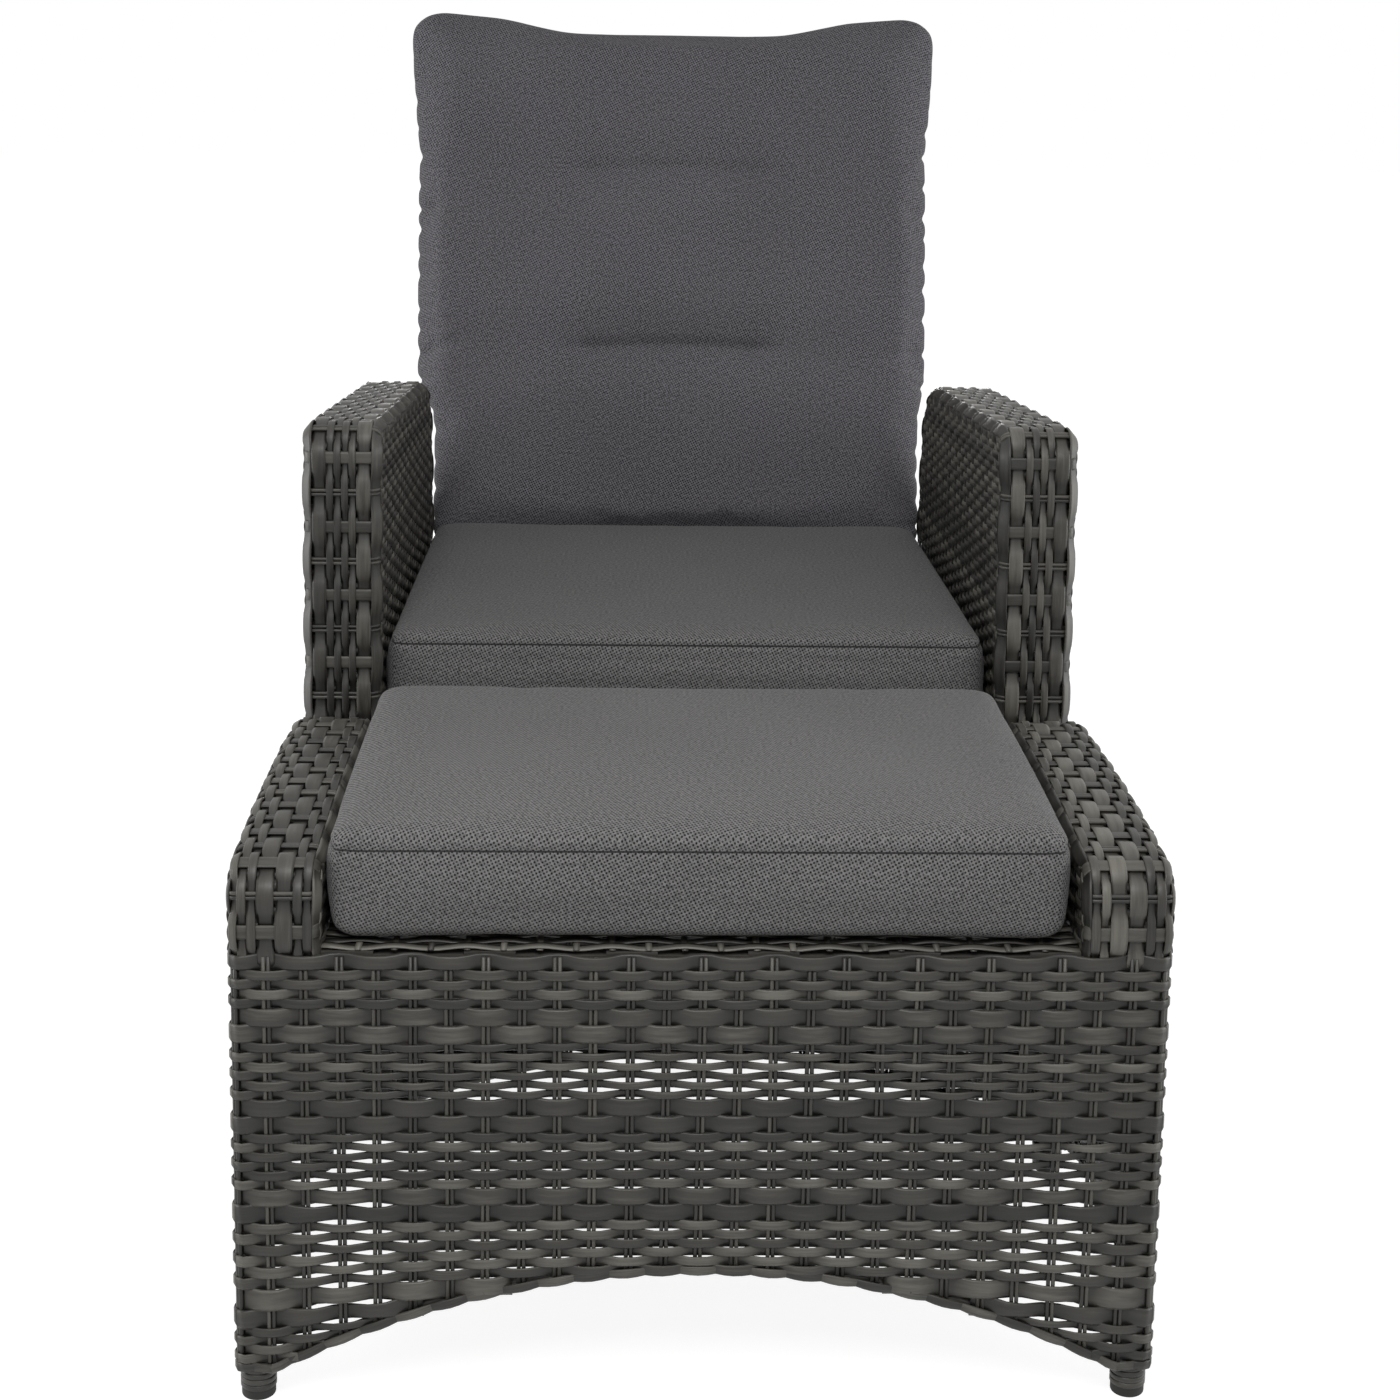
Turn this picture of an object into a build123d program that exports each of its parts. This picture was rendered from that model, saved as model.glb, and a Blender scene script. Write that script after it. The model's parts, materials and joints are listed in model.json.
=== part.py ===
"""Reclining garden armchair with its footstool: woven plastic over tube frames, loose cushions.

The chair's woven body carries two arms. The back turns on a bolt at each side, and a lockable gas spring
under the seat holds it where it is let go. A lever outside the left arm frees the spring.
The stool stands in front of the arms, as wide as the chair, and its raised sides match them.

X runs to the sitter's left, Y from the stool to the back, Z up. Lengths are in millimetres, angles in degrees.
The model is laid out from the stool's front face at Y = 0 and moved at the end, so that the origin lies on
the floor under the middle of the whole set.
"""
import os
from math import atan2, cos, degrees, radians, sin, sqrt, tan

from build123d import *

# Weave, tubes and general clearances
weave = 5.0  # thickness of a woven wall
tube_size = 22.0  # outer diameter of the bent tubes
tube_wall = 1.5
bar_size = 22.0  # outer side of the square tubes
bar_wall = 1.5
rod_size = 8.0  # rods that hold the arched edges
seat_gap = 0.3  # between pieces that rest against each other
overrun = 60.0  # how far a cutting shape passes what it cuts

# Width, shared by chair and stool
half_width = 350.0  # at width_height
width_height = 420.0
splay = 1.26  # lean of each side, feet outwards
side_width = 69.0  # across one arm or raised side
shoulder_radius = 10.0
foot_clearance = 27.0  # underside of the weave at the legs
leg_zone = 32.0  # straight stretch of that underside beside each corner
leg_setback = 1.0  # of the legs from the woven side's inner face
arch_rise = 84.0  # of the arched edge at front and rear

# Stool
stool_depth = 412.0
stool_side_height = 449.0
stool_crown = 9.0  # rise of the side's top from its ends to its middle
stool_front_radius = 30.0
stool_rear_radius = 40.0
stool_panel_height = 373.0
stool_deck_rise = 6.0  # of the deck's top above the front and rear panels
stool_side_arch_rise = 32.0
stool_gap = 41.0  # from the stool's rear to the arms

# Chair sides
arm_front_height = 692.0
arm_slope = 4.5  # fall of the arm's top towards the rear
arm_front_radius = 28.0
arm_rear_radius = 110.0
chair_foot_depth = 727.0  # from the arm's front to the back of the rear foot
rear_slant = 12.4  # lean of the rear leg, foot outwards
chair_side_arch_rise = 40.0
apron_height = 392.0
rear_apron_height = 342.0

# Relief of the weave: pairs of wide strands stand proud of the thin rows between them
course_pitch = 73.6  # from one proud pair to the next
thin_course = 46.0  # height of a set of thin rows
course_depth = 1.5
course_border = 11.0  # plain edge above the first thin rows
course_margin = 16.0  # plain edge round a woven face
grommet_collar = 3.0  # plain weave round the lever's grommet

# Seat
seat_deck_rise = 2.0  # of the deck's top above the front apron
slat_width = 38.0
slat_thickness = 3.0
seat_slats = 9
stool_slats = 6
deck_weave = 4.0
rear_rail_setback = 56.0  # from the hinge forward to the rear rail

# Cushions
cushion_clearance = 2.5  # to the woven wall at each side
seat_cushion_thickness = 100.0
seat_cushion_front = 6.0  # behind the arm's front
seat_cushion_setback = 38.0  # from the hinge forward to the cushion's rear edge
stool_cushion_thickness = 88.0
stool_cushion_overlap = 3.0  # behind the stool's front
back_cushion_thickness = 82.0
back_cushion_bottom = 68.0  # above the hinge, along the back
back_cushion_top = 657.0
back_cushion_reach = 16.7  # past the back's weave at each side
cushion_side_round = 22.0

# Back and its hinge
back_lean = 17.1  # of the back from upright, as it stands at rest
hinge_depth = 635.0  # behind the arm's front
hinge_height = 392.0
hinge_to_tube = 28.0  # from the hinge back to the line of the back tubes
back_arm_gap = 5.7  # between the back's weave and the top of the arm's inner wall
back_height = 622.0  # centre line of the back's top tube above the hinge
back_corner_radius = 60.0
back_slats = 6
hinge_bolt = 8.0
running_fit = 0.05  # radial play of a pin in its bore
plate = 4.0
hinge_washer = 16.0
bush_size = 12.0
bush_flange = 7.0  # from the hinge plate to the bracket
hinge_plate_round = 15.0
bolt_head = 13.0
bolt_head_height = 5.0

# Cushion forms: shares of the length, of the half width and of the thickness, from one end to the other
flat_cushion_shares = [
    (0.0, 0.955, 0.62),
    (0.02, 0.985, 0.86),
    (0.08, 1.0, 0.96),
    (0.2, 0.996, 0.99),
    (0.35, 0.992, 1.0),
    (0.5, 0.990, 1.0),
    (0.65, 0.992, 1.0),
    (0.8, 0.996, 0.985),
    (0.92, 1.0, 0.95),
    (0.98, 0.985, 0.84),
    (1.0, 0.955, 0.60),
]
flat_cushion_side_share = 0.92
back_cushion_shares = [
    (0.0, 0.93, 0.42),
    (0.03, 0.953, 0.74),
    (0.14, 0.955, 0.97),
    (0.26, 0.975, 1.0),
    (0.355, 0.995, 0.86),
    (0.45, 0.99, 1.0),
    (0.60, 0.995, 1.0),
    (0.70, 1.0, 0.85),
    (0.80, 0.99, 0.98),
    (0.93, 0.995, 0.84),
    (0.985, 0.985, 0.58),
    (1.0, 0.96, 0.36),
]
back_cushion_side_share = 0.72

# Gas spring and its crank
spring_inset = 73.0  # of the spring's line from the back's side tube
crank_length = 60.0
spring_reach = 328.0  # from the hinge forward to the spring's anchor
spring_anchor_height = 340.0
cylinder_size = 22.0
cylinder_length = 190.0
piston_size = 10.0
piston_inside = 92.0  # length of the rod inside the cylinder at rest
stroke_room = 42.0
eye_width = 10.0
eye_size = 22.0
eye_side_gap = 0.5
neck_length = 6.0  # from the cylinder to the eye's round
cylinder_round = 2.0
lug_round = 10.0
ear_gap = 0.4
ear_round = 9.0
eye_play = 1.9  # radial play of the crank pin, where the linkage is opened
spring_pin = 8.0
head_width = 24.0
head_length = 28.0
head_height = 22.0
trunnion_length = 7.0
release_pin_size = 6.0
release_pin_out = 5.0
release_pin_stop = 4.0  # from the anchor to the pin's inner end
release_gap = 0.5
release_arm = 14.0
lever_shaft = 10.0
lever_reach = 92.0
lever_thickness = 6.0
lever_width = 18.0
lever_offset = 9.0  # of the handle from the woven side
grommet_size = 30.0
grommet_thickness = 3.0

# Feet
glide_height = 16.0
glide_wall = 2.0
glide_play = 0.2
glide_floor = 5.0
glide_plug = 18.0
glide_round = 2.0

chair_front = stool_depth + stool_gap
hinge_y = chair_front + hinge_depth
stool_deck_height = stool_panel_height + stool_deck_rise
seat_deck_height = apron_height + seat_deck_rise
tube_inset = weave + seat_gap + tube_size / 2
leg_line = half_width - tube_inset - leg_setback
bar_inset = weave + seat_gap + bar_size / 2


def half_at(height):
    """Half the outer width at a height: the sides lean outwards towards the floor."""
    return half_width + (width_height - height) * tan(radians(splay))


def inner_half_at(height):
    """Half the clear width between the two sides at a height."""
    return half_at(height) - side_width


def splayed(part):
    """Leans a piece of the +X side outwards about its outer top edge."""
    pivot = Pos(half_width, 0, width_height)
    return pivot * Rot(0, -splay, 0) * pivot.inverse() * part


def both_sides(name, part):
    """The +X piece and its mirror image, under a name for each side."""
    return {name + "_left": part, name + "_right": mirror(part, Plane.YZ)}


def stool_side_points(inset):
    """Corners of the stool's side outline, front foot to rear foot, moved inwards by an inset."""
    front, rear = inset, stool_depth - inset
    top = stool_side_height + stool_crown / 4 - inset
    middle = (front + rear) / 2
    return [
        (front, 0),
        (front, top - stool_crown),
        (middle, top),
        (rear, top - stool_crown),
        (rear, 0),
    ]


def stool_side_radii(inset):
    crown_radius = (stool_depth / 2) ** 2 / (2 * stool_crown)
    return [stool_front_radius - inset, crown_radius, stool_rear_radius - inset]


def arm_points(inset):
    """Corners of the chair's side outline: the sloped top meets the slanted rear edge."""
    fall, slant = tan(radians(arm_slope)), tan(radians(rear_slant))
    front = chair_front + inset
    top = arm_front_height - inset / cos(radians(arm_slope))
    foot = chair_front + chair_foot_depth - inset / cos(radians(rear_slant))
    rear_z = (top - fall * (foot - chair_front)) / (1 - fall * slant)
    return [
        (front, 0),
        (front, top - fall * inset),
        (foot - slant * rear_z, rear_z),
        (foot, 0),
    ]


def arm_radii(inset):
    return [arm_front_radius - inset, arm_rear_radius - inset]


def closed_outline(points, radii):
    """Face in the YZ plane from an open run of rounded corners, closed by a straight foot line."""
    return Plane.YZ * make_face(FilletPolyline(*points, radius=radii) + Line(points[-1], points[0]))


def bent_tube(points, radii, size=tube_size, wall=tube_wall):
    """Round tube swept along straight runs joined by tangent arcs."""
    path = FilletPolyline(*points, radius=radii)
    start = Plane(origin=path @ 0, z_dir=path % 0)
    return sweep(start * (Circle(size / 2) - Circle(size / 2 - wall)), path=path)


def square_tube(length, axis):
    """Square tube of a length, centred on the origin, along X or Y."""
    plane = Plane.YZ if axis == "X" else Plane.XZ
    hollow = bar_size - 2 * bar_wall
    return extrude(plane * (Rectangle(bar_size, bar_size) - Rectangle(hollow, hollow)), length / 2, both=True)


def front_arch(rise, bottom=foot_clearance):
    """Cutter through Y: all that is below the weave's arched lower edge."""
    reach = half_at(bottom) - leg_zone
    arc = ThreePointArc((-reach, bottom), (0, bottom + rise), (reach, bottom))
    wide = half_at(0) + overrun
    rest = Polyline((reach, bottom), (wide, bottom), (wide, -overrun), (-wide, -overrun), (-wide, bottom), (-reach, bottom))
    return extrude(Plane.XZ * make_face(arc + rest), 2 * (chair_front + chair_foot_depth), both=True)


def side_arch(front, rear, rise):
    """Cutter through X: the arch between the front and rear leg of a side."""
    start, end = front + leg_zone, rear - leg_zone
    arc = ThreePointArc((start, foot_clearance), ((start + end) / 2, foot_clearance + rise), (end, foot_clearance))
    rest = Polyline((end, foot_clearance), (end, -overrun), (start, -overrun), (start, foot_clearance))
    return extrude(Plane.YZ * make_face(arc + rest), 2 * half_width, both=True)


def thin_courses(slab, panel_top, highest, fall=0.0):
    """One slab for each set of thin rows, from the feet up. Above the panel's top they turn to follow the arm."""
    first = panel_top - course_border - thin_course / 2
    below = int((first - foot_clearance) / course_pitch)
    above = int((highest - first) / course_pitch)
    slabs = []
    for i in range(-below, above + 1):
        height = first + i * course_pitch
        turn = fall * max(height - panel_top, 0) / (arm_front_height - panel_top)
        slabs.append(Pos(0, 0, height) * Rot(-turn, 0, 0) * slab)
    return slabs


def side_relief(points, radii, panel_top, fall=0.0):
    """Cutter for the thin rows in the outer face of a side, inside a plain margin."""
    (front, _), (_, highest), (rear, _) = points(0)[0], points(0)[1], points(0)[-1]
    face = extrude(closed_outline(points(course_margin), radii(course_margin)), course_depth)
    slab = Box(side_width, rear - front, thin_course, align=(Align.CENTER, Align.MIN, Align.CENTER))
    slabs = thin_courses(Pos(half_width, front, 0) * slab, panel_top, highest, fall)
    return Pos(half_width - course_depth, 0, 0) * face & Compound(slabs)


def woven_side(points, radii, inner_bottom, arches, relief):
    """Hollow woven cover of one side: outer wall, rounded top and ends, and a shorter inner wall.

    The inner wall ends above the rails. It sinks a little when the side leans outwards, so it is cut that much higher.
    """
    low = half_width - side_width
    body = Pos(low, 0, 0) * extrude(closed_outline(points(0), radii(0)), side_width)
    rounded = body.edges().filter_by_position(Axis.Z, foot_clearance / 2, 2 * arm_front_height)
    rounded = [e for e in rounded if e.bounding_box().size.X < weave]
    body = fillet(rounded, shoulder_radius)
    core = extrude(closed_outline(points(weave), radii(weave)), side_width - 2 * weave)
    below = Pos(0, 0, -weave) * core
    body -= Pos(low + weave, 0, 0) * (core + below)
    front, rear = points(weave)[0][0], points(weave)[-1][0]
    drop = side_width * sin(radians(splay))
    opening = Box(weave + overrun, rear - front, inner_bottom + drop, align=(Align.MAX, Align.MIN, Align.MIN))
    body -= Pos(low + weave, front, 0) * opening
    body = splayed(body - relief)
    for arch in arches:
        body -= arch
    return body


def woven_panel(height, arch, gap=seat_gap):
    """Flat woven wall between the two sides, arched below, its front face at Y = 0."""
    top, low = inner_half_at(height) - gap, inner_half_at(0) - gap
    face = make_face(Polyline((-low, 0), (low, 0), (top, height), (-top, height), close=True))
    slab = Box(2 * (top - course_margin), 2 * course_depth, thin_course)
    wall = Pos(0, weave, 0) * extrude(Plane.XZ * face, weave) - arch
    return wall - Compound(thin_courses(slab, height, height))


def glide(foot, lean):
    """Plastic foot: a rounded cap round the tube's end, with a plug inside it and a flat sole on the floor."""
    outer = tube_size / 2 + glide_play + glide_wall
    cap = Cylinder(outer, glide_height + overrun, align=(Align.CENTER, Align.CENTER, Align.MAX))
    cap = Pos(0, 0, glide_height) * cap
    bore = tube_size / 2 + glide_play
    socket = Pos(0, 0, glide_floor) * Cylinder(bore, glide_height, align=(Align.CENTER, Align.CENTER, Align.MIN))
    plug_radius = tube_size / 2 - tube_wall - glide_play
    plug = Cylinder(plug_radius, glide_plug, align=(Align.CENTER, Align.CENTER, Align.MIN))
    cap = cap - socket + Pos(0, 0, glide_floor) * plug
    cap = splayed(Pos(leg_line, *foot) * Rot(lean, 0, 0) * cap)
    under = Box(4 * half_width, 2 * overrun, 2 * overrun, align=(Align.CENTER, Align.CENTER, Align.MAX))
    cap -= Pos(0, foot[0], 0) * under
    sole = cap.faces().filter_by(Plane.XY).sort_by(Axis.Z)[0]
    return fillet(sole.edges(), glide_round)


def cushion(length, half, thickness, table, round_off, side_share):
    """Loft of crowned sections along Y; a row of the table holds shares of the length, width and thickness."""
    sections = []
    for place, width_share, height_share in table:
        b, h = half * width_share, thickness * height_share
        edge = h * side_share
        r = min(round_off, edge / 2)
        outline = (
            Line((-b + r, 0), (b - r, 0))
            + ThreePointArc((b - r, 0), (b, edge / 2), (b - r, edge))
            + ThreePointArc((b - r, edge), (0, h), (-b + r, edge))
            + ThreePointArc((-b + r, edge), (-b, edge / 2), (-b + r, 0))
        )
        plane = Plane(origin=(0, place * length, 0), x_dir=(1, 0, 0), z_dir=(0, -1, 0))
        sections.append(plane * make_face(outline))
    return loft(sections)


def hole_along_x(diameter, length, play=running_fit):
    return Rot(0, 90, 0) * Cylinder(diameter / 2 + play, length)


def pin_along_x(diameter, length):
    return Rot(0, 90, 0) * Cylinder(diameter / 2, length)


def headed_pin(diameter, length):
    """Pin along X with a flat round head at each end; the length is what lies between the heads."""
    head = pin_along_x(bolt_head, bolt_head_height)
    offset = (length + bolt_head_height) / 2
    return pin_along_x(diameter, length) + Pos(offset, 0, 0) * head + Pos(-offset, 0, 0) * head


def foot_ends(corners):
    """Ends the legs just above the floor of their glides, along their own slant."""
    def trimmed(foot, above):
        share = glide_floor / (above[2] - foot[2])
        return tuple(f + share * (a - f) for f, a in zip(foot, above))

    return [trimmed(corners[0], corners[1])] + corners[1:-1] + [trimmed(corners[-1], corners[-2])]


def side_tube(points, radii):
    """Bent tube of one side: front leg, top and rear leg in one piece."""
    corners = foot_ends([(leg_line, y, z) for y, z in points(tube_inset)])
    return splayed(bent_tube(corners, radii(tube_inset)))


def side_rail(front, rear, height):
    """Square tube between the legs of one side."""
    rail = square_tube(rear - front, "Y")
    return splayed(Pos(leg_line, (front + rear) / 2, height) * rail)


def feet(points, prefix):
    """Four glides, one on each leg."""
    found = {}
    corners = points(tube_inset)
    for end, foot, above in (("front", 0, 1), ("rear", -1, -2)):
        (y, z), (near_y, near_z) = corners[foot], corners[above]
        lean = degrees(atan2(near_y - y, near_z - z))
        found.update(both_sides(f"{prefix}_glide_{end}", glide((y, z), -lean)))
    return found


def slat_row(count, start, end, width):
    """Places of evenly spaced slats that fill a span."""
    pitch = (end - start - width) / (count - 1)
    return [start + width / 2 + i * pitch for i in range(count)]


def arch_rod(rise, inset):
    """Round rod that follows the arched edge from leg to leg, its centre line in the plane Y = 0."""
    lift = rod_size / 2 + seat_gap
    reach = half_at(foot_clearance) - leg_zone
    radius = (reach**2 + rise**2) / (2 * rise)
    end = leg_line - tube_size / 2 - seat_gap
    top = foot_clearance + rise + lift
    end_height = top - (radius + lift) + sqrt((radius + lift) ** 2 - end**2)
    path = ThreePointArc((-end, 0, end_height), (0, 0, top), (end, 0, end_height))
    start = Plane(origin=path @ 0, z_dir=path % 0)
    return Pos(0, inset, 0) * sweep(start * Circle(rod_size / 2), path=path)


def deck(front, rear, height):
    """Flat woven deck between the two sides, its top at a height."""
    half = inner_half_at(height) - seat_gap
    return Pos(0, (front + rear) / 2, height - deck_weave / 2) * Box(2 * half, rear - front, deck_weave)


def group(solids):
    return Compound(children=solids)


nodes = {}
shell_half = inner_half_at(arm_front_height) - back_arm_gap
back_tube_half = shell_half - weave - seat_gap - tube_size / 2
back_cushion_half_width = shell_half + back_cushion_reach
spring_side = back_tube_half - spring_inset
rod_inset = weave + seat_gap + rod_size / 2
arch = front_arch(arch_rise)

# Stool: side tubes, rails, deck and its weave
stool_rail_height = stool_deck_height - deck_weave - slat_thickness - bar_size / 2
stool_legs = (tube_inset + tube_size / 2 + seat_gap, stool_depth - tube_inset - tube_size / 2 - seat_gap)
rail_reach = leg_line - bar_size / 2 - seat_gap
nodes.update(both_sides("stool_side_tube", side_tube(stool_side_points, stool_side_radii)))
nodes.update(both_sides("stool_side_rail", side_rail(*stool_legs, stool_rail_height)))
stool_rails = []
for y in (bar_inset, stool_depth - bar_inset):
    stool_rails.append(Pos(0, y, stool_rail_height) * square_tube(2 * rail_reach, "X"))
nodes["stool_cross_rails"] = group(stool_rails)
stool_arch_rods = [arch_rod(arch_rise, y) for y in (rod_inset, stool_depth - rod_inset)]
nodes["stool_arch_rods"] = group(stool_arch_rods)

slat_top = stool_deck_height - deck_weave
slat_half = inner_half_at(slat_top) - seat_gap
slat_length = stool_depth - 2 * (weave + seat_gap)
stool_slats_found = []
for x in slat_row(stool_slats, -slat_half, slat_half, slat_width):
    place = Pos(x, stool_depth / 2, slat_top - slat_thickness / 2)
    stool_slats_found.append(place * Box(slat_width, slat_length, slat_thickness))
nodes["stool_slats"] = group(stool_slats_found)
nodes["stool_deck_weave"] = deck(weave + seat_gap, stool_depth - weave - seat_gap, stool_deck_height)

stool_inner_bottom = stool_rail_height + bar_size / 2 + seat_gap
stool_arches = [arch, side_arch(0, stool_depth, stool_side_arch_rise)]
stool_relief = side_relief(stool_side_points, stool_side_radii, stool_panel_height)
stool_side = woven_side(stool_side_points, stool_side_radii, stool_inner_bottom, stool_arches, stool_relief)
nodes.update(both_sides("stool_side_weave", stool_side))
stool_panel = woven_panel(stool_panel_height, arch)
nodes["stool_front_weave"] = stool_panel
nodes["stool_rear_weave"] = Pos(0, stool_depth, 0) * mirror(stool_panel, Plane.XZ)
nodes.update(feet(stool_side_points, "stool"))

stool_cushion_half = inner_half_at(stool_deck_height + stool_cushion_thickness) - cushion_clearance
stool_cushion_length = stool_depth - 2 * stool_cushion_overlap
stool_cushion = cushion(
    stool_cushion_length,
    stool_cushion_half,
    stool_cushion_thickness,
    flat_cushion_shares,
    cushion_side_round,
    flat_cushion_side_share,
)
nodes["stool_cushion"] = Pos(0, stool_cushion_overlap, stool_deck_height + seat_gap) * stool_cushion

# Chair body: side tubes, seat frame and weave
seat_rail_height = seat_deck_height - deck_weave - slat_thickness - bar_size / 2
rear_leg_y = arm_points(tube_inset)[-1][0] - tan(radians(rear_slant)) * seat_rail_height
arm_legs = (
    chair_front + tube_inset + tube_size / 2 + seat_gap,
    rear_leg_y - (tube_size + bar_size) / 2 - seat_gap,
)
nodes.update(both_sides("arm_tube", side_tube(arm_points, arm_radii)))
nodes.update(both_sides("arm_side_rail", side_rail(*arm_legs, seat_rail_height)))

front_rail_y = chair_front + bar_inset
rear_rail_y = hinge_y - rear_rail_setback
anchor_y = hinge_y - spring_reach
seat_rail_x = inner_half_at(seat_rail_height) - seat_gap - bar_size / 2
seat_frame = []
for y in (front_rail_y, rear_rail_y):
    seat_frame.append(Pos(0, y, seat_rail_height) * square_tube(2 * rail_reach, "X"))
long_rail = square_tube(rear_rail_y - front_rail_y - bar_size, "Y")
for x in (-seat_rail_x, seat_rail_x):
    seat_frame.append(Pos(x, (front_rail_y + rear_rail_y) / 2, seat_rail_height) * long_rail)
seat_frame.append(Pos(0, anchor_y, seat_rail_height) * square_tube(2 * seat_rail_x - bar_size, "X"))
nodes["seat_frame"] = group(seat_frame)

seat_slat_top = seat_deck_height - deck_weave
seat_slat_half = inner_half_at(seat_slat_top) - seat_gap
seat_slats_found = []
slat_front, slat_rear = front_rail_y - bar_size / 2, rear_rail_y + bar_size / 2
for y in slat_row(seat_slats, slat_front, slat_rear, slat_width):
    place = Pos(0, y, seat_slat_top - slat_thickness / 2)
    seat_slats_found.append(place * Box(2 * seat_slat_half, slat_width, slat_thickness))
nodes["seat_slats"] = group(seat_slats_found)
nodes["seat_deck_weave"] = deck(slat_front, slat_rear, seat_deck_height)

arm_inner_bottom = seat_rail_height + bar_size / 2 + seat_gap
arm_arches = [arch, side_arch(chair_front, chair_front + chair_foot_depth, chair_side_arch_rise)]
lever_y = anchor_y - head_length / 2 - release_pin_out - release_gap - lever_shaft / 4
lever_z = spring_anchor_height - release_arm
collar = Pos(half_width, lever_y, lever_z) * hole_along_x(grommet_size + 2 * grommet_collar, side_width, 0)
arm_relief = side_relief(arm_points, arm_radii, apron_height, arm_slope) - collar
arm_weave = woven_side(arm_points, arm_radii, arm_inner_bottom, arm_arches, arm_relief)
lever_hole = Pos(half_width, lever_y, lever_z) * hole_along_x(grommet_size - 2 * grommet_thickness, side_width, 0)
nodes["arm_weave_left"] = arm_weave - lever_hole
nodes["arm_weave_right"] = mirror(arm_weave, Plane.YZ)
nodes["front_apron_weave"] = Pos(0, chair_front, 0) * woven_panel(apron_height, arch)
slanted = Pos(0, chair_front + chair_foot_depth, 0) * Rot(rear_slant, 0, 0)
rear_apron = woven_panel(rear_apron_height / cos(radians(rear_slant)), arch)
nodes["rear_apron_weave"] = slanted * mirror(rear_apron, Plane.XZ)
apron_rods = [Pos(0, chair_front, 0) * arch_rod(arch_rise, rod_inset), slanted * arch_rod(arch_rise, -rod_inset)]
hem_height = rear_apron_height - rod_size / 2
hem = Rot(0, 90, 0) * Cylinder(rod_size / 2, 2 * (leg_line - tube_size / 2 - seat_gap))
apron_rods.append(slanted * Pos(0, -rod_inset, hem_height) * hem)
nodes["apron_rods"] = group(apron_rods)
nodes.update(feet(arm_points, "chair"))

seat_cushion_half = inner_half_at(seat_deck_height + seat_cushion_thickness) - cushion_clearance
back_face = hinge_to_tube - tube_size / 2 - slat_thickness - seat_gap - weave - seat_gap
seat_cushion_start = chair_front + seat_cushion_front
seat_cushion = cushion(
    hinge_y - seat_cushion_setback - seat_cushion_start,
    seat_cushion_half,
    seat_cushion_thickness,
    flat_cushion_shares,
    cushion_side_round,
    flat_cushion_side_share,
)
nodes["seat_cushion"] = Pos(0, seat_cushion_start, seat_deck_height + seat_gap) * seat_cushion


def on_back(part):
    """Carries a piece from the back's own frame, hinge at the origin and Z along the back, to its rest."""
    return Pos(0, hinge_y, hinge_height) * Rot(-back_lean, 0, 0) * part


# Hinge at each side: bracket on the seat frame, bolt, and on the back a plate with its bush
plate_x = back_tube_half - tube_size / 2 - plate / 2
bracket_x = plate_x + plate + bush_flange
tab = Rot(0, 90, 0) * extrude(Circle(hinge_plate_round), plate / 2, both=True)
bracket_start = rear_rail_y + bar_size / 2
bracket_face = make_hull(
    (
        Pos(hinge_y, hinge_height) * Circle(hinge_plate_round)
        + Pos(bracket_start + plate / 2, seat_rail_height) * Rectangle(plate, bar_size)
    ).edges()
)
bracket = Pos(bracket_x, 0, 0) * extrude(Plane.YZ * bracket_face, plate / 2, both=True)
bracket -= Pos(bracket_x, hinge_y, hinge_height) * hole_along_x(hinge_bolt, 2 * plate)
nodes.update(both_sides("hinge_bracket", bracket))

bolt_length = bracket_x - plate_x + plate + 2 * seat_gap
bolt = Pos((plate_x + bracket_x) / 2, hinge_y, hinge_height) * headed_pin(hinge_bolt, bolt_length)
nodes.update(both_sides("hinge_bolt", bolt))

hinge_tab = make_hull((Circle(hinge_plate_round) + Pos(hinge_to_tube, 0) * Circle(hinge_plate_round)).edges())
hinge_plate = extrude(Plane.YZ * hinge_tab, plate / 2, both=True)
hinge_plate -= hole_along_x(bush_size, 2 * plate, running_fit)
nodes.update(both_sides("hinge_plate", on_back(Pos(plate_x, 0, 0) * hinge_plate)))
sleeve_length = plate + bush_flange - seat_gap
sleeve = pin_along_x(bush_size, plate)
flange = Pos((plate + bush_flange - seat_gap) / 2, 0, 0) * pin_along_x(hinge_washer, bush_flange - seat_gap)
bush = sleeve + flange - hole_along_x(hinge_bolt, 2 * sleeve_length)
nodes.update(both_sides("hinge_bush", on_back(Pos(plate_x, 0, 0) * bush)))

# Back: bent tube, lower bar, slats, weave and cushion
tube_low = -bar_size / 2
back_points = [
    (-back_tube_half, hinge_to_tube, tube_low),
    (-back_tube_half, hinge_to_tube, back_height),
    (back_tube_half, hinge_to_tube, back_height),
    (back_tube_half, hinge_to_tube, tube_low),
]
nodes["back_tube"] = on_back(bent_tube(back_points, back_corner_radius))
lower_bar_height = hinge_plate_round + bar_size / 2
lower_bar = square_tube(2 * (back_tube_half - tube_size / 2), "X")
nodes["back_lower_bar"] = on_back(Pos(0, hinge_to_tube, lower_bar_height) * lower_bar)
slat_start = lower_bar_height + bar_size
slat_end = back_height - back_corner_radius
back_slats_found = []
for z in slat_row(back_slats, slat_start, slat_end, slat_width):
    place = Pos(0, hinge_to_tube - tube_size / 2 - slat_thickness / 2, z)
    back_slats_found.append(place * Box(2 * back_tube_half, slat_thickness, slat_width))
nodes["back_slats"] = on_back(group(back_slats_found))

shell_top = back_height + tube_size / 2 + seat_gap + weave
shell_low = hinge_plate_round + seat_gap
shell_front = back_face + seat_gap
shell_rear = hinge_to_tube + tube_size / 2 + seat_gap + weave


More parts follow.
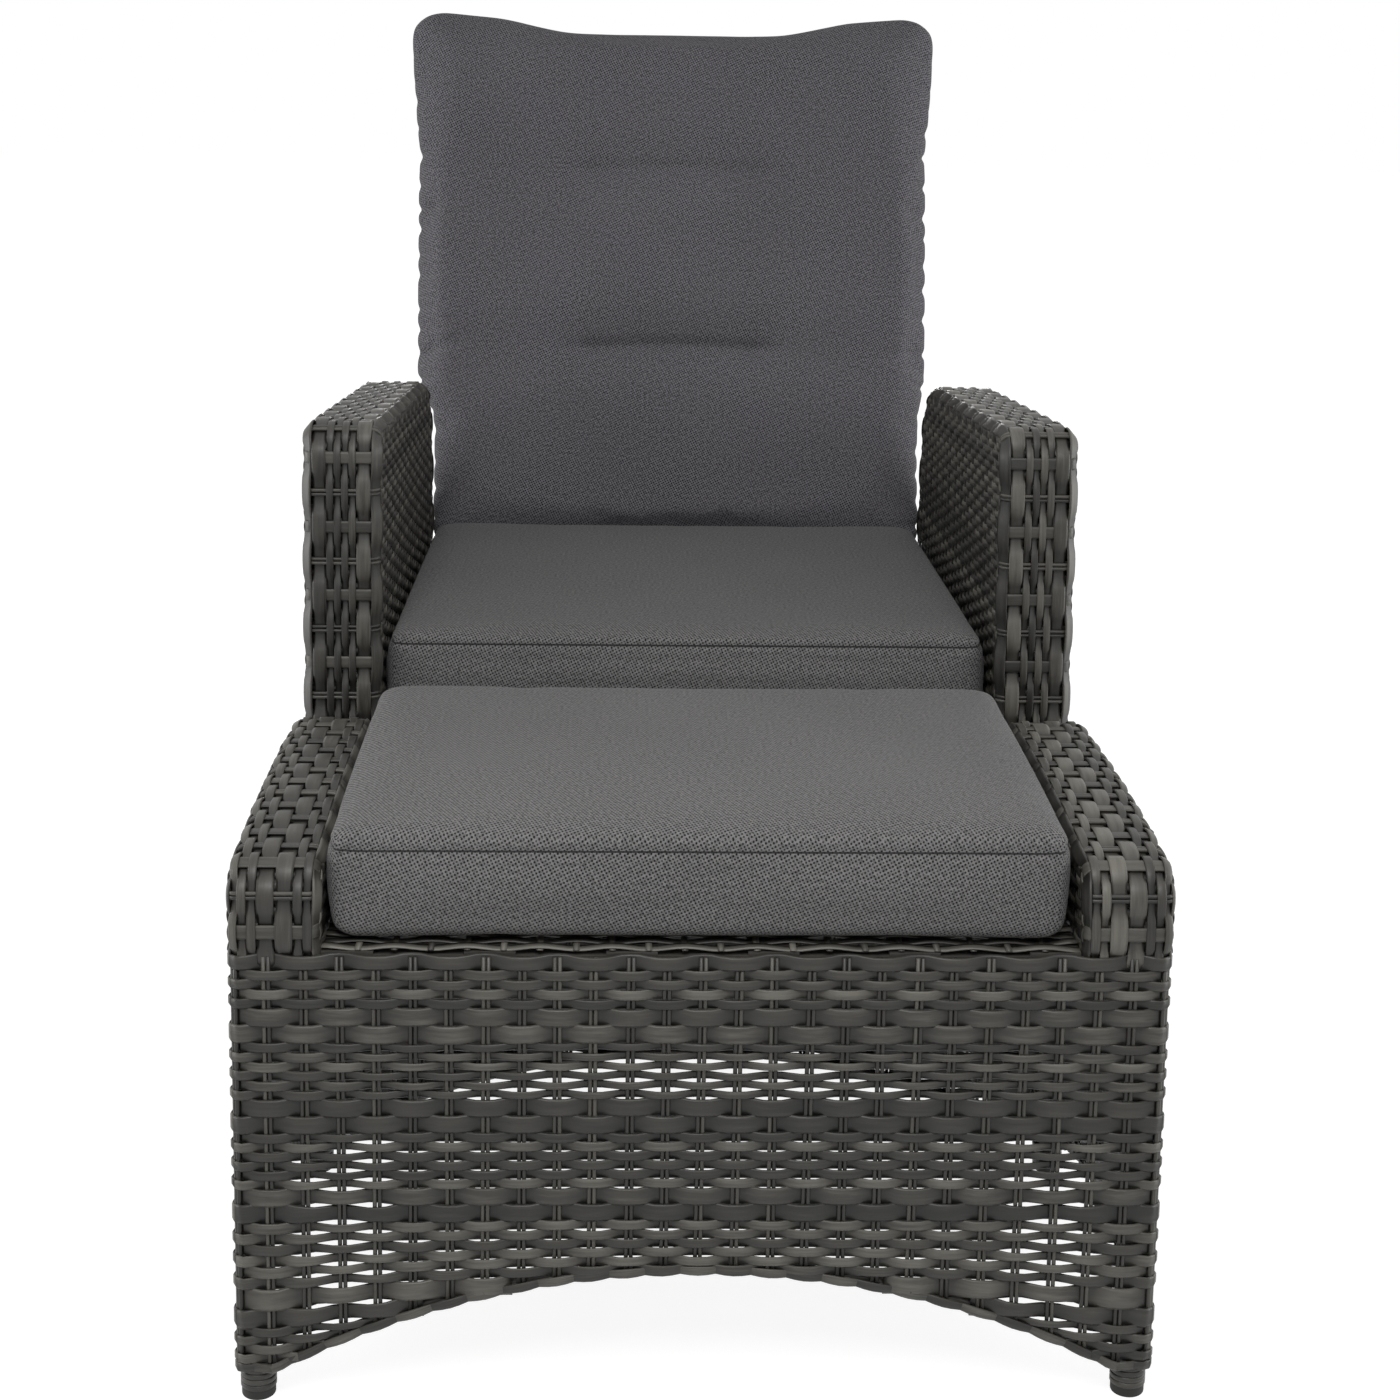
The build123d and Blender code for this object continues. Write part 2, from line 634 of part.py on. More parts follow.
def back_shell(inset, low):
    """Rounded slab round the back tube, drawn in by an inset on every side but the foot."""
    half, top = shell_half - inset, shell_top - inset
    radius = back_corner_radius + tube_size / 2 + weave - inset
    points = [(-half, low), (-half, top), (half, top), (half, low)]
    face = make_face(FilletPolyline(*points, radius=radius) + Line(points[-1], points[0]))
    depth = shell_rear - shell_front - 2 * inset
    return Pos(0, shell_rear - inset, 0) * extrude(Plane.XZ * face, depth)


back_weave = back_shell(0, shell_low)
rim = back_weave.edges().filter_by_position(Axis.Z, shell_low + weave, shell_top + overrun)
rim = [e for e in rim if e.bounding_box().size.Y < weave]
back_weave = fillet(rim, shoulder_radius) - back_shell(weave, shell_low - overrun)
nodes["back_weave"] = on_back(back_weave)

back_cushion_length = back_cushion_top - back_cushion_bottom
back_cushion = cushion(
    back_cushion_length,
    back_cushion_half_width,
    back_cushion_thickness,
    back_cushion_shares,
    cushion_side_round,
    back_cushion_side_share,
)
back_cushion = Pos(0, back_face, back_cushion_bottom) * Rot(90, 0, 0) * back_cushion
nodes["back_cushion"] = on_back(back_cushion)

# Crank on the back's lower bar: two lugs and a pin for the spring's eye
lug_x = eye_width / 2 + eye_side_gap + plate / 2
lug_face = make_hull(
    (Pos(0, -crank_length) * Circle(lug_round) + Pos(hinge_to_tube, lower_bar_height) * Circle(lug_round)).edges()
)
bar_face = Pos(hinge_to_tube, lower_bar_height) * Rectangle(bar_size, bar_size)
below_bar = Pos(0, shell_low - seat_gap) * Rectangle(
    2 * overrun, 2 * crank_length, align=(Align.CENTER, Align.MAX)
)
bar_reach = Pos(hinge_to_tube, lower_bar_height) * Rectangle(bar_size, 2 * bar_size)
lug_face = lug_face & (below_bar + bar_reach) - bar_face
lug_pin_hole = hole_along_x(spring_pin, 2 * plate)
lug = extrude(Plane.YZ * lug_face, plate / 2, both=True) - Pos(0, 0, -crank_length) * lug_pin_hole
crank_lugs = [Pos(spring_side + side * lug_x, 0, 0) * lug for side in (-1, 1)]
nodes["crank_lugs"] = on_back(group(crank_lugs))
crank_pin = headed_pin(spring_pin, 2 * lug_x + plate + 2 * seat_gap)
nodes["crank_pin"] = on_back(Pos(spring_side, 0, -crank_length) * crank_pin)

# Gas spring: release head with trunnions, rod, cylinder with its eye; Y runs along the spring
crank_y = hinge_y - crank_length * sin(radians(back_lean))
crank_z = hinge_height - crank_length * cos(radians(back_lean))
spring_length = sqrt((crank_y - anchor_y) ** 2 + (crank_z - spring_anchor_height) ** 2)
spring_tilt = degrees(atan2(crank_z - spring_anchor_height, crank_y - anchor_y))


def on_spring(part):
    """Carries a piece from the spring's own frame, anchor at the origin, to its rest."""
    return Pos(spring_side, anchor_y, spring_anchor_height) * Rot(spring_tilt, 0, 0) * part


def along_y(diameter, start, end):
    return Pos(0, (start + end) / 2, 0) * Rot(90, 0, 0) * Cylinder(diameter / 2, end - start)


head = Box(head_width, head_length, head_height)
head = fillet(head.edges().filter_by(Axis.X), head_height / 4)
head += pin_along_x(spring_pin, head_width + 2 * trunnion_length)
head -= along_y(release_pin_size + 2 * running_fit, -head_length, 0)
nodes["release_head"] = on_spring(head)
pin_rest = release_pin_out + head_length / 2
nodes["release_pin"] = on_spring(along_y(release_pin_size, -pin_rest, -release_pin_stop))
rod_end = spring_length - eye_size / 2 - neck_length - cylinder_length + piston_inside
nodes["piston_rod"] = on_spring(along_y(piston_size, head_length / 2, rod_end))
cylinder_end = spring_length - eye_size / 2 - neck_length
cylinder_start = cylinder_end - cylinder_length
cylinder = fillet(along_y(cylinder_size, cylinder_start, cylinder_end).edges(), cylinder_round)
cylinder -= along_y(piston_size + 2 * running_fit, cylinder_start - overrun, rod_end + stroke_room)
nodes["spring_cylinder"] = on_spring(cylinder)
eye = Pos(0, spring_length, 0) * pin_along_x(eye_size, eye_width)
neck = Pos(0, (cylinder_end + spring_length) / 2, 0) * Box(eye_width, spring_length - cylinder_end, eye_width)
eye = eye + neck - Pos(0, spring_length, 0) * hole_along_x(spring_pin, 2 * eye_width, eye_play)
nodes["spring_eye"] = on_spring(eye)

# Bracket under the seat frame that holds the head and the lever's shaft
bracket_top = seat_rail_height - bar_size / 2
ear_x = head_width / 2 + ear_gap + plate / 2
ear_face = make_hull(
    (
        Pos(anchor_y, spring_anchor_height) * Circle(ear_round)
        + Pos(lever_y, lever_z) * Circle(ear_round)
        + Pos(anchor_y, bracket_top - plate / 2) * Rectangle(bar_size, plate)
    ).edges()
)
ear = extrude(Plane.YZ * ear_face, plate / 2, both=True)
ear -= Pos(0, anchor_y, spring_anchor_height) * hole_along_x(spring_pin, 2 * plate)
ear -= Pos(0, lever_y, lever_z) * hole_along_x(lever_shaft, 2 * plate)
spring_bracket = Pos(0, anchor_y, bracket_top - plate / 2) * Box(2 * ear_x + plate, bar_size, plate)
for side in (-1, 1):
    spring_bracket += Pos(side * ear_x, 0, 0) * ear
nodes["spring_bracket"] = Pos(spring_side, 0, 0) * spring_bracket

# Release lever: shaft with a finger at the head and a handle outside the arm
shaft_start = spring_side - ear_x - plate
handle_x = half_at(lever_z) + lever_offset
shaft = Rot(0, 90, 0) * Cylinder(
    lever_shaft / 2, handle_x - shaft_start, align=(Align.CENTER, Align.CENTER, Align.MIN)
)
shaft = Pos(shaft_start, 0, 0) * shaft
finger_face = SlotCenterPoint((0, release_arm / 2), (0, release_arm), lever_shaft / 2)
finger = Pos(spring_side, 0, 0) * extrude(Plane.YZ * finger_face, eye_width / 2, both=True)
handle_face = SlotCenterPoint((-lever_reach / 2, 0), (-lever_reach, 0), lever_width)
handle = Pos(handle_x + lever_thickness / 2, 0, 0) * extrude(Plane.YZ * handle_face, lever_thickness / 2, both=True)
release_lever = Pos(0, lever_y, lever_z) * (shaft + finger + handle)
nodes["release_lever"] = release_lever
outside = half_at(lever_z - grommet_size / 2) + seat_gap
grommet = pin_along_x(grommet_size, grommet_thickness)
grommet -= hole_along_x(lever_shaft, 2 * grommet_thickness)
nodes["lever_grommet"] = Pos(outside + grommet_thickness / 2, lever_y, lever_z) * grommet

# Origin on the floor under the middle of the set
boxes = [part.bounding_box() for part in nodes.values()]
middle_y = (min(box.min.Y for box in boxes) + max(box.max.Y for box in boxes)) / 2
os.makedirs("parts", exist_ok=True)
for name, part in nodes.items():
    export_step(Pos(0, -middle_y, 0) * part, f"parts/{name}.step")
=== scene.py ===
"""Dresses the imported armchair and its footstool: woven strands, stuffed cushions, finishes, light and camera.

X runs to the sitter's left, Y from the stool to the chair's back and Z up, in metres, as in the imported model.
"""

import bpy
import json
import numpy as np
from mathutils import Matrix, Vector


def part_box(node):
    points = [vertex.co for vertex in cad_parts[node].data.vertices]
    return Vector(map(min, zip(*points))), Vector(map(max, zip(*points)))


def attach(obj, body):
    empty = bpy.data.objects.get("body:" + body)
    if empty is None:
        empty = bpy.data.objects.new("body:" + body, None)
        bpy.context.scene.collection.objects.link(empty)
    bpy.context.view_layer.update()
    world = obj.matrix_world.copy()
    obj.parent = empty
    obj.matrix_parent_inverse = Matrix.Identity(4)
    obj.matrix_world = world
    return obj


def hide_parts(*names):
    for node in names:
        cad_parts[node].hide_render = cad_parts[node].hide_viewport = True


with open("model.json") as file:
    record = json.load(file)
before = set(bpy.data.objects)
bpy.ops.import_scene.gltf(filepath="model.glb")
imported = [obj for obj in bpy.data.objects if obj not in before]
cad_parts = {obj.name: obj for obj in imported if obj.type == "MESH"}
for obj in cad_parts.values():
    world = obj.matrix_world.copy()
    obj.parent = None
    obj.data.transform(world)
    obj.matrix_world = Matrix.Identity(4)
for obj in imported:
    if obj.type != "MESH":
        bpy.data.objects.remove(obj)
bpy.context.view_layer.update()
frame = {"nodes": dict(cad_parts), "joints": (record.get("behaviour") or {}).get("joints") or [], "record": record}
rng = np.random.default_rng(7)

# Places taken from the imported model
STOOL_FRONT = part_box("stool_front_weave")[0].y
STOOL_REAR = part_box("stool_rear_weave")[1].y
CHAIR_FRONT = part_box("front_apron_weave")[0].y
HINGE = np.array(Vector(frame["joints"][0]["pos_m"]))

# Sizes of the woven body
HALF = 0.350  # half width at SPLAY_HEIGHT
SPLAY_HEIGHT = 0.420
SPLAY = np.radians(1.26)
GIRTH_HEIGHT = 0.2  # where the stakes are shared out round the body
SIDE_WIDTH = 0.069
SHOULDER = 0.010
CORNER = 0.012
FOOT_EDGE = 0.027  # underside of the weave at the legs
ARCH_RISE = 0.084
STOOL_SIDE_RISE, CHAIR_SIDE_RISE = 0.032, 0.040
LEG_ZONE = 0.032
STOOL_TOP, STOOL_INNER_LOW = 0.373, 0.372
STOOL_CREST, STOOL_FALL = 0.45125, 0.009
STOOL_BENDS = (0.030, 2.357, 0.040)  # front, crown and rear
CHAIR_TOP, CHAIR_INNER_LOW = 0.392, 0.388
CHAIR_DEPTH = 0.727
REAR_TOP = 0.342
REAR_SLANT = np.radians(12.4)
ARM_SLOPE = np.radians(4.5)
ARM_HEIGHT = 0.692
ARM_BENDS = (0.028, 0.110)  # front and rear
BACK_LEAN = np.radians(17.1)

# Strands and rows
STAKE_PITCH = 0.0273
STAKE, STAKE_GAP, STAKE_LEAN = 0.0033, 0.0037, 0.0008
NARROW, WIDE, BORDER = 0.0070, 0.0130, 0.0100  # widths of strands
NARROW_ROW, WIDE_ROW, BORDER_ROW = 0.0077, 0.0136, 0.011  # heights that their rows take up
ROW_THICK = 0.0017
WAVE = 0.0022
CORE_DEPTH = 0.0022
RIM = 0.0125
RIM_WIDTH, HEM_WIDTH, HEM_SWELL, HEM_RISE = 0.0088, 0.0068, 0.0012, 0.0032
EDGE_INSET = 0.0075  # from a side's outline to the ends of its rows
WOBBLE = 0.0005
SAG_FROM, SAG_OVER, SAG_LOW, SAG_ALL = 0.175, 0.084, 0.016, 0.003
COURSE_TOP, COURSE_LOW, COURSE_END = 0.068, 0.117, 0.275  # loose rows: below the top, and sideways
BESIDE_IN, BESIDE_OUT, BESIDE_TOP = 0.222, 0.308, 0.14  # loose stretch beside the corners
FULL, SLACKER, SQUEEZE, SLACK_SQUEEZE = 1.12, 0.24, 0.34, 0.30  # shares of a strand's width
BAND_THICK, BAND_WAVE = ROW_THICK + 0.0003, WAVE + 0.0002
EDGE_CALM, EDGE_LIFT = 0.45, 0.0008  # the outermost strands wave less and lie higher
BAND_PITCH = {"stool": 0.028, "chair": 0.031, "back": 0.028}
BAND_TUCK, BAND_TUCK_LENGTH = 0.0048, 0.016
BAND_LAP = 0.012  # how far a band runs on below the wall's top
BAND_STRANDS = {
    "stool": [0.007] * 4 + [0.0135, 0.0135, 0.007, 0.007, 0.0114],
    "chair": [0.013, 0.0128, 0.0066, 0.0066, 0.0066, 0.0066, 0.0134, 0.0136],
    "back": [0.0075, 0.0068, 0.0068, 0.0068, 0.0068, 0.0075],
}
FLAT_STAKE, BAND_STAKE = (0.0112, 0.0020), 0.0031
# Strips under a band, nearly black as painted shade seen through its gaps: depth below it, pitch and size
UNDERLAY_DEPTH, UNDERLAY_PITCH, UNDERLAY_STRIP = 0.0062, 0.012, (0.0125, 0.0006)
LEG_WRAP, LEG_WRAP_RADIUS, LEG_WRAP_HEIGHTS = (0.0056, 0.0026), 0.0128, (0.0105, 0.0155, 0.0205, 0.0255)
GLIDE_MIDDLE = 0.008  # height at which a glide's box is centred on its leg
DECK_COLUMNS, DECK_ROW, DECK_STRAND, DECK_STAKE, DECK_THICK = 21, 0.0125, 0.0115, 0.0050, 0.0012
TINY, OPEN = 1e-6, (-np.inf, np.inf)
BOTH = (("left", 1), ("right", -1))


def half_at(z):
    """Half the outer width at a height: the sides lean outwards towards the floor."""
    return HALF + (SPLAY_HEIGHT - z) * np.tan(SPLAY)


def unit(v):
    return v / np.linalg.norm(v, axis=-1, keepdims=True)


def smooth_step(t):
    t = np.clip(t, 0, 1)
    return t * t * (3 - 2 * t)


def rise(value, start, over):
    """A smooth step from nought at the start to one at start + over, which may lie before it."""
    return smooth_step((value - start) / over)


def bell(value, width):
    return np.exp(-((value / width) ** 2))


def swing(wave, power=0.5):
    """A wave with flattened crests: a strand runs straight over a stake and turns under quickly between."""
    return np.sign(wave) * np.abs(wave) ** power


def lengths(path):
    """Distance along a path at each of its points."""
    return np.concatenate([[0], np.cumsum(np.linalg.norm(np.diff(path, axis=0), axis=1))])


def interpolated(at, places, points):
    """Flat points read off between the given ones."""
    return stack(*(np.interp(at, places, points[:, i]) for i in range(2)))


def stack(*parts):
    return np.stack(parts, -1)


def tube_faces(index):
    """Faces between neighbouring rings of vertex numbers."""
    turned = np.roll(index, -1, axis=1)
    return stack(index[:-1], turned[:-1], turned[1:], index[1:]).reshape(-1, 4)


def added(name, data):
    """A new object in the scene."""
    obj = bpy.data.objects.new(name, data)
    bpy.context.scene.collection.objects.link(obj)
    return obj


def assigned(made, **settings):
    for key, value in settings.items():
        setattr(made, key, value)
    return made


def filled(items, label, values, kind=np.float32):
    """Sets one attribute of all the items of a mesh."""
    items.foreach_set(label, np.asarray(values).astype(kind).ravel())


def put(piece, body, slot, *nodes):
    """Lets a finished piece ride on its body and stand for its nodes; its slot is not used."""
    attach(piece, body)
    if nodes:
        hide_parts(*nodes)


class Bundle:
    """Collects strands and makes one mesh of them, with a map along each strand and a tone of its own."""

    def __init__(self):
        self.points, self.quads, self.caps, self.uv, self.tone, self.shade = ([] for _ in range(6))
        self.count = 0

    def strand(self, path, normal, width, thick, sides=6, shade=1.0, square=0.45):
        """A flattened round rod along a path: each ring is the path's point plus width/2 cos t across it and
        thick/2 sin t along the normal, to a power below 1 that squares the oval. The shade is painted shade,
        low where the strand dives between others, and darkens the strand's colour there."""
        n = len(path)
        along = unit(np.gradient(path, axis=0))
        across = unit(np.cross(normal, along))
        outward = np.cross(along, across)
        t = 2 * np.pi * (np.arange(sides) + 0.5) / sides - np.pi / 2
        a, b = swing(np.cos(t), square)[None, :, None], swing(np.sin(t), square)[None, :, None]
        w = np.broadcast_to(width, (n,))[:, None, None] / 2
        h = np.broadcast_to(thick, (n,))[:, None, None] / 2
        ring = path[:, None] + across[:, None] * w * a + outward[:, None] * h * b
        index = self.count + np.arange(n * sides).reshape(n, sides)
        self.quads.append(tube_faces(index))
        self.caps += [index[0][::-1], index[-1]]
        u = np.repeat(lengths(path) + rng.uniform(0, 10), sides)
        self.uv.append(stack(u, np.tile(np.arange(sides) / sides, n)))
        self.tone.append(np.full(n * sides, rng.uniform()))
        self.shade.append(np.repeat(np.broadcast_to(shade, (n,)), sides))
        self.points.append(ring.reshape(-1, 3))
        self.count += n * sides

    def pair(self, phase, points, normal, lift, sink, width, swell=0.0, least=0.0):
        """Two strands twisted round each other: each leaves the line by lift cos(phase) less the sink, half a
        turn apart. Their painted shade runs from the least, where a strand dives under the other, to one."""
        for turn in (0, np.pi):
            wave = np.cos(phase + turn)
            lifted = points + normal * (lift * wave - sink)[:, None]
            shade = least + (1 - least) * (1 + wave) / 2
            self.strand(lifted, normal, width + swell * wave, ROW_THICK, 6, shade)

    def build(self, name, body, *nodes):
        """One mesh of all strands, put in its place."""
        mesh = bpy.data.meshes.new(name)
        points, quads = np.concatenate(self.points), np.concatenate(self.quads)
        sizes = np.concatenate([np.full(len(quads), 4), [len(c) for c in self.caps]])
        loops = np.concatenate([quads.ravel()] + self.caps)
        mesh.vertices.add(len(points))
        filled(mesh.vertices, "co", points)
        mesh.loops.add(len(loops))
        filled(mesh.loops, "vertex_index", loops, np.int32)
        mesh.polygons.add(len(sizes))
        filled(mesh.polygons, "loop_start", np.cumsum(sizes) - sizes, np.int32)
        mesh.update(calc_edges=True)
        filled(mesh.polygons, "use_smooth", np.ones(len(sizes)), bool)
        filled(mesh.uv_layers.new(name="strand").uv, "vector", np.concatenate(self.uv)[loops])
        for label, values in (("tone", self.tone), ("shade", self.shade)):
            filled(mesh.attributes.new(label, "FLOAT", "POINT").data, "value", np.concatenate(values))
        mesh.materials.append(WICKER)
        put(added(name, mesh), body, "weave", *nodes)


def rounded_path(corners, radii, step=0.002, arc_points=24):
    """Straight runs between the corners, each inner corner an arc of its radius, in even steps."""
    corners = [np.array(c, float) for c in corners]
    points = [corners[0]]
    for a, b, c, r in zip(corners, corners[1:], corners[2:], radii):
        u, v = unit(a - b), unit(c - b)
        turn = np.arccos(np.clip(u @ v, -1, 1))
        centre = b + unit(u + v) * r / np.sin(turn / 2)
        reach = r / np.tan(turn / 2)
        start, end = b + u * reach - centre, b + v * reach - centre
        sweep = np.pi - turn
        t = np.linspace(0, 1, arc_points)[:, None]
        arc = (np.sin((1 - t) * sweep) * start + np.sin(t * sweep) * end) / np.sin(sweep)
        points.extend(centre + arc)
    points = np.array(points + [corners[-1]])
    s = lengths(points)
    even = np.linspace(0, s[-1], int(s[-1] / step) + 1)
    return interpolated(even, s, points)


def stool_outline(inset=0.0):
    """The raised side in the YZ plane, from the front foot over its crowned top to the rear foot."""
    front, rear, top = STOOL_FRONT + inset, STOOL_REAR - inset, STOOL_CREST - inset
    eaves = top - STOOL_FALL
    corners = [(front, 0), (front, eaves), ((front + rear) / 2, top), (rear, eaves), (rear, 0)]
    return rounded_path(corners, [STOOL_BENDS[0] - inset, STOOL_BENDS[1], STOOL_BENDS[2] - inset])


def arm_outline(inset=0.0):
    """The arm in the YZ plane: upright front, sloped top, and a rear edge that slants out to its foot."""
    fall, slant = np.tan(ARM_SLOPE), np.tan(REAR_SLANT)
    front = CHAIR_FRONT + inset
    top = ARM_HEIGHT - inset / np.cos(ARM_SLOPE)
    foot = CHAIR_FRONT + CHAIR_DEPTH - inset / np.cos(REAR_SLANT)
    rear = (top - fall * (foot - CHAIR_FRONT)) / (1 - fall * slant)
    corners = [(front, 0), (front, top - fall * inset), (foot - slant * rear, rear), (foot, 0)]
    return rounded_path(corners, [bend - inset for bend in ARM_BENDS])


def arch(x, reach, rise):
    """Height of a circular arch over the foot line: full rise at the middle, none from reach outwards."""
    radius = (reach**2 + rise**2) / (2 * rise)
    inner = np.sqrt(np.maximum(radius**2 - np.minimum(np.abs(x), reach) ** 2, 0))
    return inner - (radius - rise)


class Ring:
    """The woven wall round a body: a rounded rectangle at each height, with the distance u counted from the
    middle of the front towards the sitter's left."""

    def __init__(self, front, rear_foot, slant, side_rise, tops, outline):
        self.front, self.foot, self.slant, self.side_rise = front, rear_foot, slant, side_rise
        self.front_top, self.rear_top = tops
        self.outline = outline
        wide = half_at(GIRTH_HEIGHT) - CORNER
        deep = rear_foot - GIRTH_HEIGHT * np.tan(slant) - front - 2 * CORNER
        quarter = CORNER * np.pi / 2
        half_loop = np.concatenate([[0], np.cumsum([wide, quarter, deep, quarter, wide])])
        self.marks = np.concatenate([-half_loop[:0:-1], half_loop])
        self.across = np.array([0, -1, -1, -1, -1, 0, 1, 1, 1, 1, 0.0])
        self.deep = np.array([1, 1, 1, 0, 0, 0, 0, 0, 1, 1, 1.0])
        self.turn = np.radians([-180, -180, -90, -90, 0, 0, 0, 90, 90, 180, 180.0])
        self.length = 2 * half_loop[-1]
        self.stakes = 2 * round(self.length / (2 * STAKE_PITCH))
        self.pitch = self.length / self.stakes
        path = outline(EDGE_INSET)
        top = path[:, 1].argmax()
        self.front_edge, self.rear_edge = path[: top + 1], path[top:][::-1]

    def at(self, u, values):
        return np.interp(u, self.marks, values)

    def surface(self, u, z):
        """Outward normal, and a point: one of the inner rectangle plus the corner radius along the normal."""
        turn = self.at(u, self.turn)
        out, fore = np.sin(turn), np.cos(turn)
        x = self.at(u, self.across) * (half_at(z) - CORNER) + CORNER * out
        near, far = self.front + CORNER, self.foot - z * np.tan(self.slant) - CORNER
        y = near + (far - near) * self.at(u, self.deep) - CORNER * fore
        up = np.abs(out) * np.tan(SPLAY) + np.maximum(-fore, 0) * np.tan(self.slant)
        return stack(x, y, z + 0 * x), unit(stack(out, -fore, up))

    def bottom(self, u):
        """Arched underside: one arch across the front and rear, a lower one along each side."""
        point, _ = self.surface(u, FOOT_EDGE)
        middle = (self.front + self.foot) / 2
        front_arch = arch(point[:, 0], half_at(FOOT_EDGE) - LEG_ZONE, ARCH_RISE)
        side_arch = arch(point[:, 1] - middle, (self.foot - self.front) / 2 - LEG_ZONE, self.side_rise)
        sideways = np.abs(np.sin(self.at(u, self.turn))) > 0.7
        return FOOT_EDGE + np.where(sideways, side_arch, front_arch)

    def inside(self, u, z, margin):
        """Above the arched edge, below the panel's top, and on the sides inside the outline's shoulders."""
        turn = self.at(u, self.turn)
        side = np.abs(np.sin(turn)) > 0.999
        y = self.surface(u, z)[0][:, 1]
        fore = np.interp(z, self.front_edge[:, 1], self.front_edge[:, 0])
        aft = np.interp(z, self.rear_edge[:, 1], self.rear_edge[:, 0])
        over_side = side & (y > fore) & (y < aft) & (z + margin < self.front_edge[-1, 1])
        top = np.where(np.abs(turn) > np.pi / 2 + 0.01, self.rear_top, self.front_top)
        return (z - margin > self.bottom(u)) & ((z + margin < top + 1e-4) | over_side)

    def sag(self, u, z0):
        """How far a row drops towards the legs: hardly high up, as the arched edge asks near the floor."""
        rises = np.where(np.abs(u) < self.marks[6], ARCH_RISE, self.side_rise)
        leg = 1 - (self.bottom(u) - FOOT_EDGE) / rises
        low = np.clip((SAG_FROM - z0) / SAG_OVER, 0, 1) ** 1.5
        return (SAG_ALL * np.clip(1 - z0 / self.front_top, 0, 1) + SAG_LOW * low) * np.clip(leg, 0, 1)

    def looseness(self, u, z):
        """One where the rows stand apart, nought where they are tight: the second set of thin rows, and lower
        down a stretch beside each corner of the front."""
        below = self.front_top - z
        x = np.abs(self.surface(u, z)[0][:, 0])
        course = rise(below, COURSE_TOP, 0.004) * rise(below, COURSE_LOW, -0.004) * rise(x, COURSE_END, -0.03)
        beside = rise(x, BESIDE_IN, 0.03) * rise(x, BESIDE_OUT, -0.02)
        return np.clip(course + beside * rise(below, BESIDE_TOP, 0.01), 0, 1)


def row_table(top, low):
    """Heights and widths of the rows from a border down: four narrow, two wide, then six and two repeated."""
    rows, z, i = [(top - BORDER_ROW / 2, BORDER)], top - BORDER_ROW, 2
    while z > low:
        pitch, width = (NARROW_ROW, NARROW) if i % 8 < 6 else (WIDE_ROW, WIDE)
        rows.append((z - pitch / 2, width))
        z, i = z - pitch, i + 1
    return rows


def runs_of(keep):
    """Start and end of each unbroken run of true values longer than two."""
    edge = np.flatnonzero(np.diff(np.concatenate([[0], keep.astype(int), [0]])))
    return [(a, b) for a, b in edge.reshape(-1, 2) if b - a > 2]


def weave_wall(bundle, wall, u, pitch, rows, height, stakes, low, high, window=OPEN, sides=6, loose=None):
    """Rows over and under the stakes: each row leaves the wall's middle by WAVE times the swing of cos(pi u /
    pitch), and turns the other way on the next row. Rows widen where they are drawn apart, and a strand is
    broader where it passes inside, squeezed by its neighbours, except where the rows are loose. A stake is a
    pair of thin round strands from the lowest to the highest woven point. The wall is the two functions that
    give its points and say what lies in it."""
    surface, inside = wall
    step = NARROW / 2
    for i, (z0, width) in rows:
        wobble = rng.uniform(-1, 1, 3)
        z = height(u, z0) + WOBBLE * (wobble[0] * np.sin(9 * u + 6 * wobble[1]) + wobble[2] * np.sin(23 * u))
        keep = inside(u, z, width / 2 * 0.9) & (u > window[0] - TINY) & (u < window[1] + TINY)
        for a, b in runs_of(keep):
            v = u[a:b]
            point, normal = surface(v, z[a:b])
            wave = swing(np.cos(np.pi * v / pitch + np.pi * i))
            slack = loose(v, z[a:b]) if loose else 0.0
            spread = (height(v, z0 + step) - height(v, z0 - step)) / (2 * step)
            within = ((1 - wave) / 2) ** 2
            share = FULL - SLACKER * slack + (SQUEEZE - SLACK_SQUEEZE * slack) * within
            shown = width * np.maximum(spread, 1) * share
            lifted = point + normal * (WAVE * wave - CORE_DEPTH)[:, None]
            # painted shade: the row is darker where it passes under the stakes
            bundle.strand(lifted, normal, shown, ROW_THICK, sides, (1 + wave) / 2)
    z = np.linspace(low, high, 160)
    for place in stakes:
        for a, b in runs_of(inside(np.full(len(z), place), z, 0.0)):
            count = max(3, int((z[b - 1] - z[a]) / 0.03) + 2)
            path = np.linspace(z[a], z[b - 1], count)
            lean = np.linspace(*rng.uniform(-STAKE_LEAN, STAKE_LEAN, 2), count)
            for side in (-0.5, 0.5):
                point, normal = surface(place + side * STAKE_GAP + lean, path)
                # painted shade: the stakes, lying under the rows, take a shade of 0.55
                bundle.strand(point - normal * CORE_DEPTH, normal, STAKE, STAKE, 6, 0.55, 0.8)


